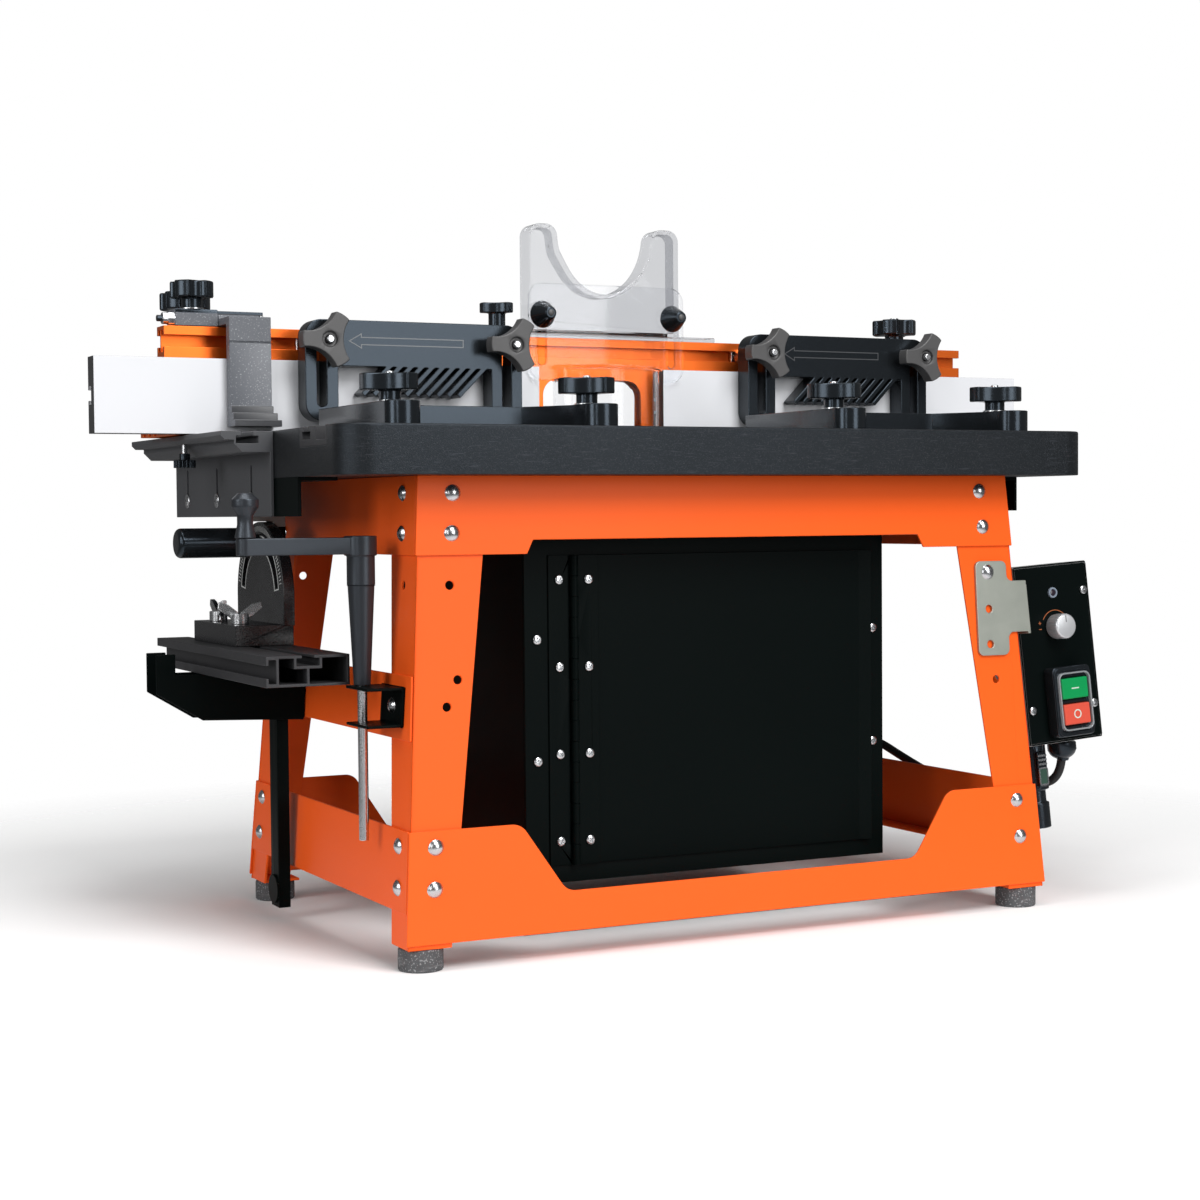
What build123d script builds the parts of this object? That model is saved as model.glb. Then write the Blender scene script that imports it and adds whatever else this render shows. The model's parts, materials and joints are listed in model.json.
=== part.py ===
from build123d import *
import math
import os

# Benchtop router table: splayed sheet-metal stand, thick top, motor cabinet with a lift and a fence
# Millimetres. X runs to the right, Y to the back, Z up from the bench. The origin is under the middle.

os.makedirs("parts", exist_ok=True)

# Running and assembly clearances
running_gap = 0.05
part_gap = 0.3
bolt_gap = 0.2

# Table top
table_width = 634
table_depth = 400
table_front = -182
table_thickness = 35
table_height = 380
table_corner = 25
table_edge_round = 1.5

# Stand
foot_height = 16
foot_radius = 16
foot_inset = 17
foot_stud_radius = 3
foot_stud_length = 12
stand_base_width = 549
stand_top_width = 506
stand_base_depth = 356
stand_top_depth = 308
sheet = 2
leg_top_flange = 56
leg_base_flange = 34
top_rail_drop = 56
arch_half_width = 166
arch_rise = 10
arch_slope = 5
bottom_rail_lift = 3.5
bottom_rail_top = 98
dip_half_width = 150
dip_height = 48
dip_slope = 34
dip_round = 13
side_rail_bottom = 41
accessory_rail_bottom = table_height - 220
accessory_rail_top = table_height - 175
flange_depth = 18
flange_half_length = 185
bolt_radius = 3
bolt_head_radius = 6
bolt_head_height = 3.2
nut_flats = 10
nut_height = 5
upper_bolt_inset = 27
lower_bolt_inset = 20
upper_bolt_drops = (12.5, 41)
lower_bolt_drops = (12, 41)
spare_hole_heights = (table_height - 112, table_height - 197)
odd_hole_height = table_height - 178.3
odd_hole_shift = 7.7
accessory_bolt_inset = 33

# Mitre and clamping track let into the top
track_width = 58
track_depth = 14
track_back = -90
clamp_slot_y = -105
slot_mouth = 9
slot_cavity = 17
slot_lip = 3.5
slot_cavity_depth = 5.5
mitre_slot_y = -135
mitre_bar_width = 19
mitre_bar_thickness = 9.5
mitre_slot_gap = 0.3

# Bit opening
bit_y = 66
throat_radius = 49
throat_ring_radius = 55
throat_ring_bore = 30
throat_ring_thickness = 6

# Motor cabinet and its door
cabinet_half_width = 157
cabinet_front = -121
cabinet_depth = 246
cabinet_bottom = 44
cabinet_wall = 2
cabinet_flange = 12
vent_length = 70
vent_width = 6
vent_pitch = 20
vent_count = 7
door_bottom = 57
door_top = 287
door_right = 134
door_lip = 9
door_lip_out = 3
door_thickness = 2
opening_margin = 14
opening_hinge_margin = 7
hinge_x = -118
knuckle_radius = 3
knuckle_count = 15
knuckle_gap = 0.3
knuckle_sink = 0.9
hinge_pin_radius = 1.2
leaf_thickness = 1.5
leaf_width = 20
screw_head_radius = 3.6
screw_head_height = 2
screw_radius = 2
screw_length = 7
leaf_screw_inset = 11.5
leaf_screw_end = 18
leaf_screw_count = 4
flange_screw_x = 147
flange_screw_heights = (225, 135)

# Router motor and lift
column_x = 62
column_radius = 8
lift_plate_half_width = 80
lift_plate_depth = 130
lift_plate_thickness = 10
lift_base_height = 84
lift_screw_y = 5
lift_screw_radius = 6
lift_screw_socket = 8
carriage_bottom = table_height - 165
carriage_height = 40
motor_radius = 41.5
motor_bottom = table_height - 268
motor_height = 188
motor_wall = 6
spindle_radius = 9
rotor_radius = 22
rotor_bottom = table_height - 215
rotor_height = 85
collet_top = table_height - 14
collet_height = 24
collet_radius = 13.5
collet_bore = 6.35
collet_depth = 35

# Switch box on the right leg
box_width = 75
box_height = 146
box_depth = 43.5
box_wall = 1.5
box_height_above_bench = table_height - 178.3
box_leg_gap = 10.2
box_set_back = 15.4
panel_thickness = 2
knob_v = 21.5
speed_knob_radius = 10
speed_knob_length = 14
speed_shaft_radius = 3
lamp_v = 49.3
lamp_radius = 4.3
switch_u = 2
switch_v = -39.8
switch_width = 38
switch_height = 57
switch_depth = 12
button_width = 26.5
button_height = 16.8
button_pitch = 21
button_proud = 3
button_travel = 3
button_depth = 8
panel_screw_u = 31.5
panel_screw_top = 49
panel_screw_bottom = -44.5
bracket_thickness = 2.5
bracket_round = 5
bracket_inner = 11.5
bracket_outer = 18.5
gland_u = 18
gland_w = -30
gland_radius = 10
gland_length = 22
cord_radius = 3.65
inlet_u = -16
inlet_w = -28
inlet_radius = 12
inlet_length = 70

# Fence
fence_face_y = 60
fence_face_thickness = 18
fence_face_height = 58
fence_face_length = 368
fence_gap_half = 58
groove_height = 34
groove_mouth = 8
groove_cavity = 14
groove_lip = 4.5
groove_depth = 9
beam_x = 5
beam_half_length = 372
beam_depth = 73
beam_height = 84
beam_wall = 5
beam_web = 13
beam_skin = 3
beam_head = 20
beam_groove = 7
beam_groove_depth = 2.5
beam_groove_pitch = 15.5
beam_slot_drop = 11.5
slot_block = 24
rib_height = 41
bit_opening_half = 46
bit_opening_height = 50
bit_opening_round = 14
face_bolt_xs = (100, 330)
lock_y = 124
lock_stud_radius = 4
lock_sleeve_radius = 8.5
lock_knob_radius = 20
lock_knob_lift = 16
lock_knob_height = 14

# Rails down both sides that carry the fence
rail_width = 40
rail_height = 15.5
rail_lip = 6.5
rail_lip_width = 10
rail_chamfer = 3
rail_taper = 6
rail_drop = 0.5
rail_length = 251
rail_rear = table_front + table_depth
rail_front = rail_rear - rail_length
rail_plate = 2.5
bracket_past_rail = 53
rail_plate_drop = 47
rail_screw_ys = (rail_rear - 204, rail_rear - 116, rail_rear - 34)
rail_slot_length = 28
rail_screw_rise = 13
bracket_leg = 30
thumb_y = 79
thumb_radius = 8.5
thumb_height = 6
thumb_collar_radius = 4.2
thumb_collar = 5
thumb_stud_radius = 2.2
thumb_stud = 7

# Clear guard
guard_x = 3
guard_plate = 4
guard_tray_half = 69.7
guard_tray_wall = 3
guard_tray_top = table_height + 176
guard_tray_lift = 2
guard_horn_round = 10
guard_base = 4
guard_base_left = 96
guard_base_right = 116
guard_base_rear = 98
guard_notch_half = 44.5
guard_notch_bottom = table_height + 120
guard_shield_half = 72
guard_shield_top = table_height + 127
guard_shield_front = 54.5
guard_arm_bottom = table_height + 47
guard_arm_width = 27
guard_slot = 7.4
guard_knob_x = 60.4
guard_knob_z = table_height + 101
guard_knob_radius = 11.5
guard_knob_length = 17
guard_lift = 34
guard_nut_radius = 5
top_knob_x = -83.2
top_knob_lift = 19.5
hood_half_width = 50
hood_lip = 3
hood_reach = 32
hood_top = table_height + 57
hood_wall = 2.5

# Featherboards and their clamps
board_thickness = 18
board_knob_pitch = 157.3
board_arm_width = 27
board_slot = 8
board_finger = 4
board_finger_pitch = 9
fence_board_xs = (-174, 223)
fence_board_above = 17
fence_board_below = 19
fence_board_arm = 62
fence_board_slot = 47
fence_finger_length = 34
fence_finger_count = 10
table_board_xs = (-175, 201)
table_board_arm = 35
table_board_notch = 37
table_board_back = 115
table_board_slot = 60
table_finger_length = 34
table_finger_count = 16
clamp_knob_radius = 22
clamp_collar_radius = 8
clamp_collar_height = 8
clamp_knob_height = 12
clamp_bolt_radius = 3
clamp_head = 14
clamp_head_height = 4

# Flip stop
stop_x = -342.4
stop_bar_left = 15.3
stop_bar_right = 18.4
stop_base_height = 10
stop_plate = 3
stop_hook = 4
stop_hook_length = 27
stop_knob_y = 86
stop_knob_radius = 16.8
stop_knob_height = 13
stop_knob_hub = 8.5
stop_pivot_y = 83
stop_pivot_z = table_height + 90
stop_pivot_radius = 3
stop_boss_radius = 5
stop_nut_radius = 5.5
stop_nut_height = 5
stop_arm_width = 34
stop_arm_front = 51
stop_arm_thickness = 8
stop_line_z = table_height + 71
stop_foot_bottom = table_height + 6

# Mitre gauge on its holder
gauge_leg_gap = 3
gauge_x = -stand_base_width / 2 - mitre_bar_thickness - gauge_leg_gap
gauge_y = 71
gauge_fence_width = 62
gauge_fence_thickness = 22
gauge_fence_front = -106
gauge_fence_rear = 178
gauge_fence_z = table_height - 183
gauge_fence_skin = 2
gauge_bar_bottom = 10
gauge_bar_top = table_height - 71
pointer_height = 13
pointer_overhang = 10
gauge_head_radius = 58
gauge_head_height = 36
gauge_arch_radius = 42
gauge_arch_slot = 8.6
gauge_head_thickness = 9
gauge_base_height = 16
gauge_base_depth = 46
gauge_base_half = 55
gauge_handle_radius = 11.5
gauge_handle_length = 58
gauge_handle_stud = 4
wing_nut_offset = 28
holder_past_gauge = 96
holder_reach = holder_past_gauge - gauge_x
holder_bottom = accessory_rail_bottom - 2
holder_prong = 15
holder_prong_height = 16
holder_plate = 2
holder_gap = 25

# Height crank in its clip
crank_leg_gap = 8.5
crank_x = -stand_base_width / 2 - crank_leg_gap
crank_y = -120
crank_rod_radius = 3.5
crank_seat = table_height - 183
crank_rod_bottom = crank_seat - 110
crank_shaft_top = crank_seat + 71
crank_hub_bottom = crank_seat + 92
crank_hub_height = 14
crank_hub_radius = 11.5
crank_arm_length = 84
crank_arm_width = 13
crank_arm_height = 12
crank_knob_height = 31
crank_knob_radius = 9.5
crank_pin_length = 24
crank_pin_radius = 3
clip_height = 28
clip_front = 152
clip_rear = 110

# Derived levels
stand_top = table_height - table_thickness
table_rear = table_front + table_depth
half_table = table_width / 2
stand_rise = stand_top - foot_height
splay_x = (stand_base_width - stand_top_width) / 2 / stand_rise
splay_y = (stand_base_depth - stand_top_depth) / 2 / stand_rise
rise_x = math.hypot(1, splay_x)
rise_y = math.hypot(1, splay_y)


def half_width(z):
    """Half the stand's outer width at a height."""
    return stand_base_width / 2 - splay_x * (z - foot_height)


def half_depth(z):
    """Half the stand's outer depth at a height."""
    return stand_base_depth / 2 - splay_y * (z - foot_height)


# Leaning outer planes of the stand. On them, places are given by a side step and a true height.
front_face = Plane(origin=(0, -half_depth(0), 0), x_dir=(1, 0, 0), z_dir=(0, -1, splay_y))
left_face = Plane(origin=(-half_width(0), 0, 0), x_dir=(0, -1, 0), z_dir=(-1, 0, splay_x))


def on_front(x, z):
    return (x, z * rise_y)


def on_left(y, z):
    return (-y, z * rise_x)


def seat_front(x, z, out=0):
    """Plane on the stand's front, facing outward."""
    origin = front_face.from_local_coords(Vector(*on_front(x, z), out))
    return Plane(origin=origin, x_dir=front_face.x_dir, z_dir=front_face.z_dir)


def seat_left(y, z, out=0):
    """Plane on the stand's left side, facing outward."""
    origin = left_face.from_local_coords(Vector(*on_left(y, z), out))
    return Plane(origin=origin, x_dir=left_face.x_dir, z_dir=left_face.z_dir)


def facing_up(x, y, z):
    return Plane(origin=(x, y, z))


def facing_front(x, y, z):
    return Plane(origin=(x, y, z), x_dir=(1, 0, 0), z_dir=(0, -1, 0))


def facing_left(x, y, z):
    return Plane(origin=(x, y, z), x_dir=(0, -1, 0), z_dir=(-1, 0, 0))


def block(x0, x1, y0, y1, z0, z1, mode=Mode.ADD):
    """Box between two corners."""
    with Locations(((x0 + x1) / 2, (y0 + y1) / 2, (z0 + z1) / 2)):
        Box(x1 - x0, y1 - y0, z1 - z0, mode=mode)


def disc(plane, radius, length, mode=Mode.ADD):
    """Round bar or hole along a plane's normal."""
    with BuildSketch(plane) as profile:
        Circle(radius)
    extrude(profile.sketch, amount=length, mode=mode)


def slab(plane, points, thickness, mode=Mode.ADD):
    """Flat plate of a given outline."""
    with BuildSketch(plane) as profile:
        with BuildLine():
            Polyline(*points, close=True)
        make_face()
    extrude(profile.sketch, amount=thickness, mode=mode)


def holes(plane, places, radius, depth):
    """Row of round holes sunk behind a plane."""
    with BuildSketch(plane) as profile:
        with Locations(*places):
            Circle(radius)
    extrude(profile.sketch, amount=-depth, mode=Mode.SUBTRACT)


def span(x0, x1, y0, y1, mode=Mode.ADD):
    """Rectangle between two corners of a sketch."""
    with Locations(((x0 + x1) / 2, (y0 + y1) / 2)):
        Rectangle(x1 - x0, y1 - y0, mode=mode)


def group(label, solids):
    """Several loose solids that share one node."""
    node = Compound(children=solids)
    node.label = label
    export_step(node, f"parts/{label}.step")


def save(builder, label):
    builder.part.label = label
    export_step(builder.part, f"parts/{label}.step")


# Shared fasteners, made at the origin with the seat at height 0 and the head above it
dome_radius = (bolt_head_radius**2 + bolt_head_height**2) / (2 * bolt_head_height)
bolt_length = 2 * sheet + nut_height + 1
with BuildPart() as domed_bolt:
    with BuildSketch(Plane.XZ):
        with BuildLine():
            Polyline(
                (0, bolt_head_height),
                (0, -bolt_length),
                (bolt_radius, -bolt_length),
                (bolt_radius, 0),
                (bolt_head_radius, 0),
            )
            RadiusArc((bolt_head_radius, 0), (0, bolt_head_height), -dome_radius)
        make_face()
    revolve(axis=Axis.Z)

with BuildPart() as flange_nut:
    with BuildSketch(facing_up(0, 0, -2 * sheet - nut_height)):
        RegularPolygon(radius=nut_flats / 2, side_count=6, major_radius=False)
        Circle(bolt_radius + bolt_gap, mode=Mode.SUBTRACT)
    extrude(amount=nut_height)

with BuildPart() as pan_screw:
    disc(Plane.XY, screw_head_radius, screw_head_height)
    fillet(pan_screw.edges().group_by(Axis.Z)[-1], screw_head_height * 0.6)
    with BuildSketch(facing_up(0, 0, screw_head_height)):
        Rectangle(screw_head_radius * 1.1, screw_head_radius * 0.25)
        Rectangle(screw_head_radius * 0.25, screw_head_radius * 1.1)
    extrude(amount=-screw_head_height / 2, mode=Mode.SUBTRACT)
    disc(facing_up(0, 0, -screw_length), screw_radius, screw_length)


def lobed_head(plane, lobes, radius, height):
    """Star-shaped knob head: a disc with a round bite between each pair of lobes."""
    bite = radius * (1.15 if lobes == 3 else 0.42)
    core = radius * (0.5 if lobes == 3 else 0.72)
    with BuildSketch(plane) as profile:
        Circle(radius)
        with PolarLocations(core + bite, lobes):
            Circle(bite, mode=Mode.SUBTRACT)
    extrude(profile.sketch, amount=height)


# Clamp for a featherboard: a knob over a tee bolt, seated at height 0 on the board
with BuildPart() as clamp_knob:
    disc(facing_up(0, 0, part_gap), clamp_collar_radius, clamp_collar_height)
    lobed_head(facing_up(0, 0, part_gap + clamp_collar_height), 3, clamp_knob_radius, clamp_knob_height)
    disc(Plane.XY, clamp_bolt_radius + bolt_gap, 40, mode=Mode.SUBTRACT)
clamp_tip = part_gap + clamp_collar_height + clamp_knob_height + 2


def tee_bolt(depth):
    """Tee bolt whose head lies a given depth under the board's seat."""
    with BuildPart() as bolt:
        with BuildSketch(facing_up(0, 0, -depth - clamp_head_height)):
            Rectangle(clamp_head, clamp_head)
        extrude(amount=clamp_head_height)
        disc(facing_up(0, 0, -depth), clamp_bolt_radius, depth + clamp_tip)
    return bolt.part


# Stand legs: folded angles that taper downward, with a foot plate in each corner
bolt_rows = [(stand_top - drop, upper_bolt_inset) for drop in upper_bolt_drops]
bolt_rows += [(bottom_rail_top - drop, lower_bolt_inset) for drop in lower_bolt_drops]
spare_rows = [(z, upper_bolt_inset) for z in spare_hole_heights]
accessory_row = [(spare_hole_heights[1], accessory_bolt_inset)]
hole_radius = bolt_radius + bolt_gap
trim = 4
with BuildPart() as stand_legs:
    low = foot_height - trim
    high = stand_top + trim
    slab(
        front_face.offset(-sheet),
        [
            on_front(sheet - half_width(low), low),
            on_front(sheet - half_width(high), high),
            on_front(leg_top_flange - half_width(stand_top), high),
            on_front(leg_base_flange - half_width(foot_height), low),
        ],
        -sheet,
    )
    slab(
        left_face.offset(-sheet),
        [
            on_left(sheet - half_depth(low), low),
            on_left(sheet - half_depth(high), high),
            on_left(leg_top_flange - half_depth(stand_top), high),
            on_left(leg_base_flange - half_depth(foot_height), low),
        ],
        -sheet,
    )
    foot_x = foot_inset - half_width(foot_height)
    foot_y = foot_inset - half_depth(foot_height)
    block(
        foot_x - foot_inset + 1.5 * sheet,
        foot_x + foot_radius,
        foot_y - foot_inset + 1.5 * sheet,
        foot_y + foot_radius,
        foot_height,
        foot_height + sheet,
    )
    block(-table_width, 0, -table_depth, 0, foot_height, stand_top, mode=Mode.INTERSECT)
    disc(facing_up(foot_x, foot_y, 0), foot_stud_radius + bolt_gap, 2 * foot_height, mode=Mode.SUBTRACT)
    for z, inset in bolt_rows + spare_rows:
        holes(front_face, [on_front(inset - half_width(z), z)], hole_radius, 3 * sheet)
    for z, inset in bolt_rows + spare_rows[:1] + accessory_row:
        holes(left_face, [on_left(inset - half_depth(z), z)], hole_radius, 3 * sheet)
    mirror(about=Plane.YZ)
    mirror(about=Plane.XZ)
    odd_hole = on_front(upper_bolt_inset + odd_hole_shift - half_width(odd_hole_height), odd_hole_height)
    holes(front_face, [odd_hole], hole_radius, 3 * sheet)
save(stand_legs, "stand_legs")

with BuildPart() as rubber_foot:
    disc(facing_up(0, 0, 0), foot_radius, foot_height)
    fillet(rubber_foot.edges().group_by(Axis.Z)[0], 1.5)
    disc(facing_up(0, 0, foot_height), foot_stud_radius, foot_stud_length)
foot_places = [(sx * foot_x, sy * foot_y, 0) for sx in (1, -1) for sy in (1, -1)]
group("rubber_feet", [rubber_foot.part.moved(Location(place)) for place in foot_places])

# Long rails at the front and back
top_rail_bottom = stand_top - top_rail_drop
rail_rows = bolt_rows[:2]
with BuildPart() as long_top_rails:
    arch = top_rail_bottom + arch_rise
    slab(
        front_face,
        [
            on_front(-half_width(top_rail_bottom), top_rail_bottom),
            on_front(-arch_half_width - arch_slope, top_rail_bottom),
            on_front(-arch_half_width, arch),
            on_front(arch_half_width, arch),
            on_front(arch_half_width + arch_slope, top_rail_bottom),
            on_front(half_width(top_rail_bottom), top_rail_bottom),
            on_front(half_width(stand_top), stand_top),
            on_front(-half_width(stand_top), stand_top),
        ],
        -sheet,
    )
    rail_back = -half_depth(stand_top) + sheet / 2
    flange_back = rail_back + flange_depth
    block(-flange_half_length, flange_half_length, rail_back, flange_back, stand_top - sheet, stand_top)
    for z, inset in rail_rows:
        x = half_width(z) - inset
        holes(front_face, [on_front(-x, z), on_front(x, z)], hole_radius, 2 * sheet)
    mirror(about=Plane.XZ)
save(long_top_rails, "long_top_rails")

bottom_rail_bottom = foot_height + bottom_rail_lift
with BuildPart() as long_bottom_rails:
    with BuildSketch(front_face):
        with BuildLine():
            Polyline(
                on_front(-half_width(bottom_rail_bottom), bottom_rail_bottom),
                on_front(half_width(bottom_rail_bottom), bottom_rail_bottom),
                on_front(half_width(bottom_rail_top), bottom_rail_top),
                on_front(dip_half_width + dip_slope, bottom_rail_top),
                on_front(dip_half_width, dip_height),
                on_front(-dip_half_width, dip_height),
                on_front(-dip_half_width - dip_slope, bottom_rail_top),
                on_front(-half_width(bottom_rail_top), bottom_rail_top),
                close=True,
            )
        rail_outline = make_face()
        shoulders = rail_outline.vertices().filter_by(lambda v: abs(v.X) < dip_half_width + dip_slope + 1)
        fillet(shoulders, dip_round)
    extrude(amount=-sheet)
    rail_back = -half_depth(bottom_rail_bottom) + sheet / 2
    block(
        -flange_half_length,
        flange_half_length,
        rail_back,
        rail_back + flange_depth,
        bottom_rail_bottom,
        bottom_rail_bottom + sheet,
    )
    for z, inset in bolt_rows[2:]:
        x = half_width(z) - inset
        holes(front_face, [on_front(-x, z), on_front(x, z)], hole_radius, 2 * sheet)
    mirror(about=Plane.XZ)
save(long_bottom_rails, "long_bottom_rails")


def side_rail(bottom, top, rows, flange_z=None):
    """One sheet rail across the left side, between the front and back rails."""
    end = 1.5 * sheet
    slab(
        left_face,
        [
            on_left(end - half_depth(bottom), bottom),
            on_left(half_depth(bottom) - end, bottom),
            on_left(half_depth(top) - end, top),
            on_left(end - half_depth(top), top),
        ],
        -sheet,
    )
    if flange_z is not None:
        inner = sheet / 2 - half_width(flange_z)
        reach = half_depth(top) - leg_top_flange - end
        block(inner, inner + flange_depth, -reach, reach, flange_z - sheet / 2, flange_z + sheet / 2)
    for z, inset in rows:
        y = half_depth(z) - inset
        holes(left_face, [on_left(-y, z), on_left(y, z)], hole_radius, 2 * sheet)


with BuildPart() as side_top_rails:
    side_rail(top_rail_bottom, stand_top, bolt_rows[:2], stand_top - sheet / 2)
    mirror(about=Plane.YZ)
save(side_top_rails, "side_top_rails")

with BuildPart() as side_bottom_rails:
    side_rail(side_rail_bottom, bottom_rail_top, bolt_rows[2:], side_rail_bottom + sheet / 2)
    mirror(about=Plane.YZ)
save(side_bottom_rails, "side_bottom_rails")

with BuildPart() as accessory_rail:
    side_rail(accessory_rail_bottom, accessory_rail_top, accessory_row)
    holder_screw = on_left(gauge_y, (accessory_rail_bottom + accessory_rail_top) / 2)
    holes(left_face, [holder_screw], screw_radius + bolt_gap, 2 * sheet)
save(accessory_rail, "accessory_rail")

# Domed bolts with their nuts, all round the stand
front_seats = []
left_seats = []
for z, inset in bolt_rows:
    x = half_width(z) - inset
    y = half_depth(z) - inset
    front_seats += [seat_front(x, z), seat_front(-x, z)]
    left_seats += [seat_left(y, z), seat_left(-y, z)]
half_turn = Rotation(0, 0, 180)
bolt_solids = []
for piece in (domed_bolt.part, flange_nut.part):
    for seat in front_seats + left_seats:
        placed = piece.moved(seat.location)
        bolt_solids += [placed, placed.moved(half_turn)]
for z, inset in accessory_row:
    y = half_depth(z) - inset
    bolt_solids += [flange_nut.part.moved(seat_left(side * y, z).location) for side in (-1, 1)]
    bolt_solids += [domed_bolt.part.moved(seat_left(y, z).location)]
    bolt_solids += [domed_bolt.part.moved(seat_left(-y, z, sheet).location)]
for z, inset in spare_rows[:1]:
    x = half_width(z) - inset
    bolt_solids += [flange_nut.part.moved(seat_front(x, z).location)]
    bolt_solids += [domed_bolt.part.moved(seat_front(x, z, bracket_thickness - sheet).location)]
group("stand_bolts", bolt_solids)

# Table top with its track groove, bit opening and crank hole
track_front = track_back - track_width
with BuildPart() as table_top:
    block(-half_table, half_table, table_front, table_rear, stand_top, table_height)
    fillet(table_top.edges().filter_by(Axis.Z), table_corner)
    fillet(table_top.faces().sort_by(Axis.Z)[-1].edges(), table_edge_round)
    track_floor = table_height - track_depth
    block(-half_table, half_table, track_front, track_back, track_floor, table_height, Mode.SUBTRACT)
    disc(facing_up(0, bit_y, stand_top), throat_radius, table_thickness, Mode.SUBTRACT)
    ring_seat = table_height - throat_ring_thickness
    disc(facing_up(0, bit_y, ring_seat), throat_ring_radius, throat_ring_thickness, Mode.SUBTRACT)
    disc(facing_up(0, lift_screw_y, stand_top), lift_screw_radius + 2, table_thickness, Mode.SUBTRACT)
save(table_top, "table_top")

slot_floor = table_height - slot_lip - slot_cavity_depth
with BuildPart() as table_track:
    with BuildSketch(Plane.YZ.offset(-half_table)):
        span(track_front, track_back, table_height - track_depth, table_height)
        span(
            clamp_slot_y - slot_mouth / 2,
            clamp_slot_y + slot_mouth / 2,
            table_height - slot_lip,
            table_height,
            Mode.SUBTRACT,
        )
        span(
            clamp_slot_y - slot_cavity / 2,
            clamp_slot_y + slot_cavity / 2,
            slot_floor,
            table_height - slot_lip,
            Mode.SUBTRACT,
        )
        span(
            mitre_slot_y - mitre_bar_width / 2 - mitre_slot_gap,
            mitre_slot_y + mitre_bar_width / 2 + mitre_slot_gap,
            table_height - mitre_bar_thickness - mitre_slot_gap,
            table_height,
            Mode.SUBTRACT,
        )
    extrude(amount=table_width)
save(table_track, "table_track")

with BuildPart() as throat_ring:
    disc(facing_up(0, bit_y, ring_seat), throat_ring_radius - part_gap, throat_ring_thickness)
    disc(facing_up(0, bit_y, ring_seat), throat_ring_bore, throat_ring_thickness, Mode.SUBTRACT)
    chamfer(throat_ring.edges().group_by(Axis.Z)[-1].sort_by(SortBy.RADIUS)[0], 1)
save(throat_ring, "throat_ring")

leaf_span = door_top - door_bottom
leaf_screw_step = (leaf_span - 2 * leaf_screw_end) / (leaf_screw_count - 1)
leaf_screw_heights = [door_bottom + leaf_screw_end + i * leaf_screw_step for i in range(leaf_screw_count)]
frame_screw_x = hinge_x - leaf_screw_inset
door_screw_x = hinge_x + leaf_screw_inset

# Motor cabinet: a sheet box hung under the top, open above, with a door opening in front
cabinet_rear = cabinet_front + cabinet_depth
lead_y = 80
lead_z = 134
cup_radius = 8
cup_length = 14
with BuildPart() as front_panel:
    block(
        -cabinet_half_width,
        cabinet_half_width,
        cabinet_front,
        cabinet_front + cabinet_wall,
        cabinet_bottom,
        stand_top,
    )
    block(
        hinge_x + opening_hinge_margin,
        door_right - opening_margin,
        cabinet_front - 1,
        cabinet_front + cabinet_wall + 1,
        door_bottom + opening_margin,
        door_top - opening_margin,
        Mode.SUBTRACT,
    )
    for z in flange_screw_heights:
        seats = [(-flange_screw_x, z), (flange_screw_x, z)]
        holes(facing_front(0, cabinet_front, 0), seats, screw_radius + bolt_gap, 2 * cabinet_wall)
    frame_seats = [(frame_screw_x, z) for z in leaf_screw_heights]
    holes(facing_front(0, cabinet_front, 0), frame_seats, screw_radius + bolt_gap, 2 * cabinet_wall)
with BuildPart() as back_panel:
    block(
        -cabinet_half_width,
        cabinet_half_width,
        cabinet_rear - cabinet_wall,
        cabinet_rear,
        cabinet_bottom,
        stand_top,
    )
panel_front = cabinet_front + cabinet_wall + part_gap
panel_rear = cabinet_rear - cabinet_wall - part_gap


def side_panel(side):
    """Side wall of the cabinet with its flange under the table."""
    edge = side * cabinet_half_width
    inner = edge - side * cabinet_wall
    outer = edge + side * cabinet_flange
    low_y = cabinet_front + cabinet_flange
    high_y = cabinet_rear - cabinet_flange
    block(min(edge, inner), max(edge, inner), panel_front, panel_rear, cabinet_bottom, stand_top)
    block(min(edge, outer), max(edge, outer), low_y, high_y, stand_top - cabinet_wall, stand_top)


with BuildPart() as left_panel:
    side_panel(-1)
with BuildPart() as right_panel:
    side_panel(1)
    lead_seat = Plane(origin=(cabinet_half_width, lead_y, lead_z), x_dir=(0, 1, 0), z_dir=(1, 0, 0))
    disc(lead_seat.offset(-cup_length), cup_radius, cup_length)
    disc(lead_seat.offset(-cup_length + cabinet_wall), cord_radius + part_gap, cup_length, Mode.SUBTRACT)
with BuildPart() as floor_panel:
    floor_half = cabinet_half_width - cabinet_wall - part_gap
    block(-floor_half, floor_half, panel_front, panel_rear, cabinet_bottom, cabinet_bottom + cabinet_wall)
    vent_rows = [((i - (vent_count - 1) / 2) * vent_pitch, bit_y) for i in range(vent_count)]
    with BuildSketch(facing_up(0, 0, cabinet_bottom)):
        with Locations(*vent_rows):
            SlotOverall(vent_length, vent_width, rotation=90)
    extrude(amount=cabinet_wall, mode=Mode.SUBTRACT)
panels = (front_panel, back_panel, left_panel, right_panel, floor_panel)
group("cabinet_shell", [panel.part for panel in panels])

# Door, piano hinge and their screws
hinge_y = cabinet_front - leaf_thickness - knuckle_radius + knuckle_sink
door_back = cabinet_front - part_gap
door_front = door_back - door_thickness
door_left = hinge_x + knuckle_radius + 1
with BuildPart() as cabinet_door:
    block(door_left, door_right, door_front, door_back, door_bottom, door_top)
    lip = [
        (door_right - 1, door_back),
        (door_right - 1, door_front),
        (door_right + door_lip, door_front - door_lip_out),
        (door_right + door_lip, door_back - door_lip_out),
    ]
    slab(facing_up(0, 0, door_bottom), lip, leaf_span)
    door_seats = [(door_screw_x, z) for z in leaf_screw_heights]
    holes(facing_front(0, door_front, 0), door_seats, screw_radius + bolt_gap, 2 * door_thickness)
save(cabinet_door, "cabinet_door")

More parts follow.
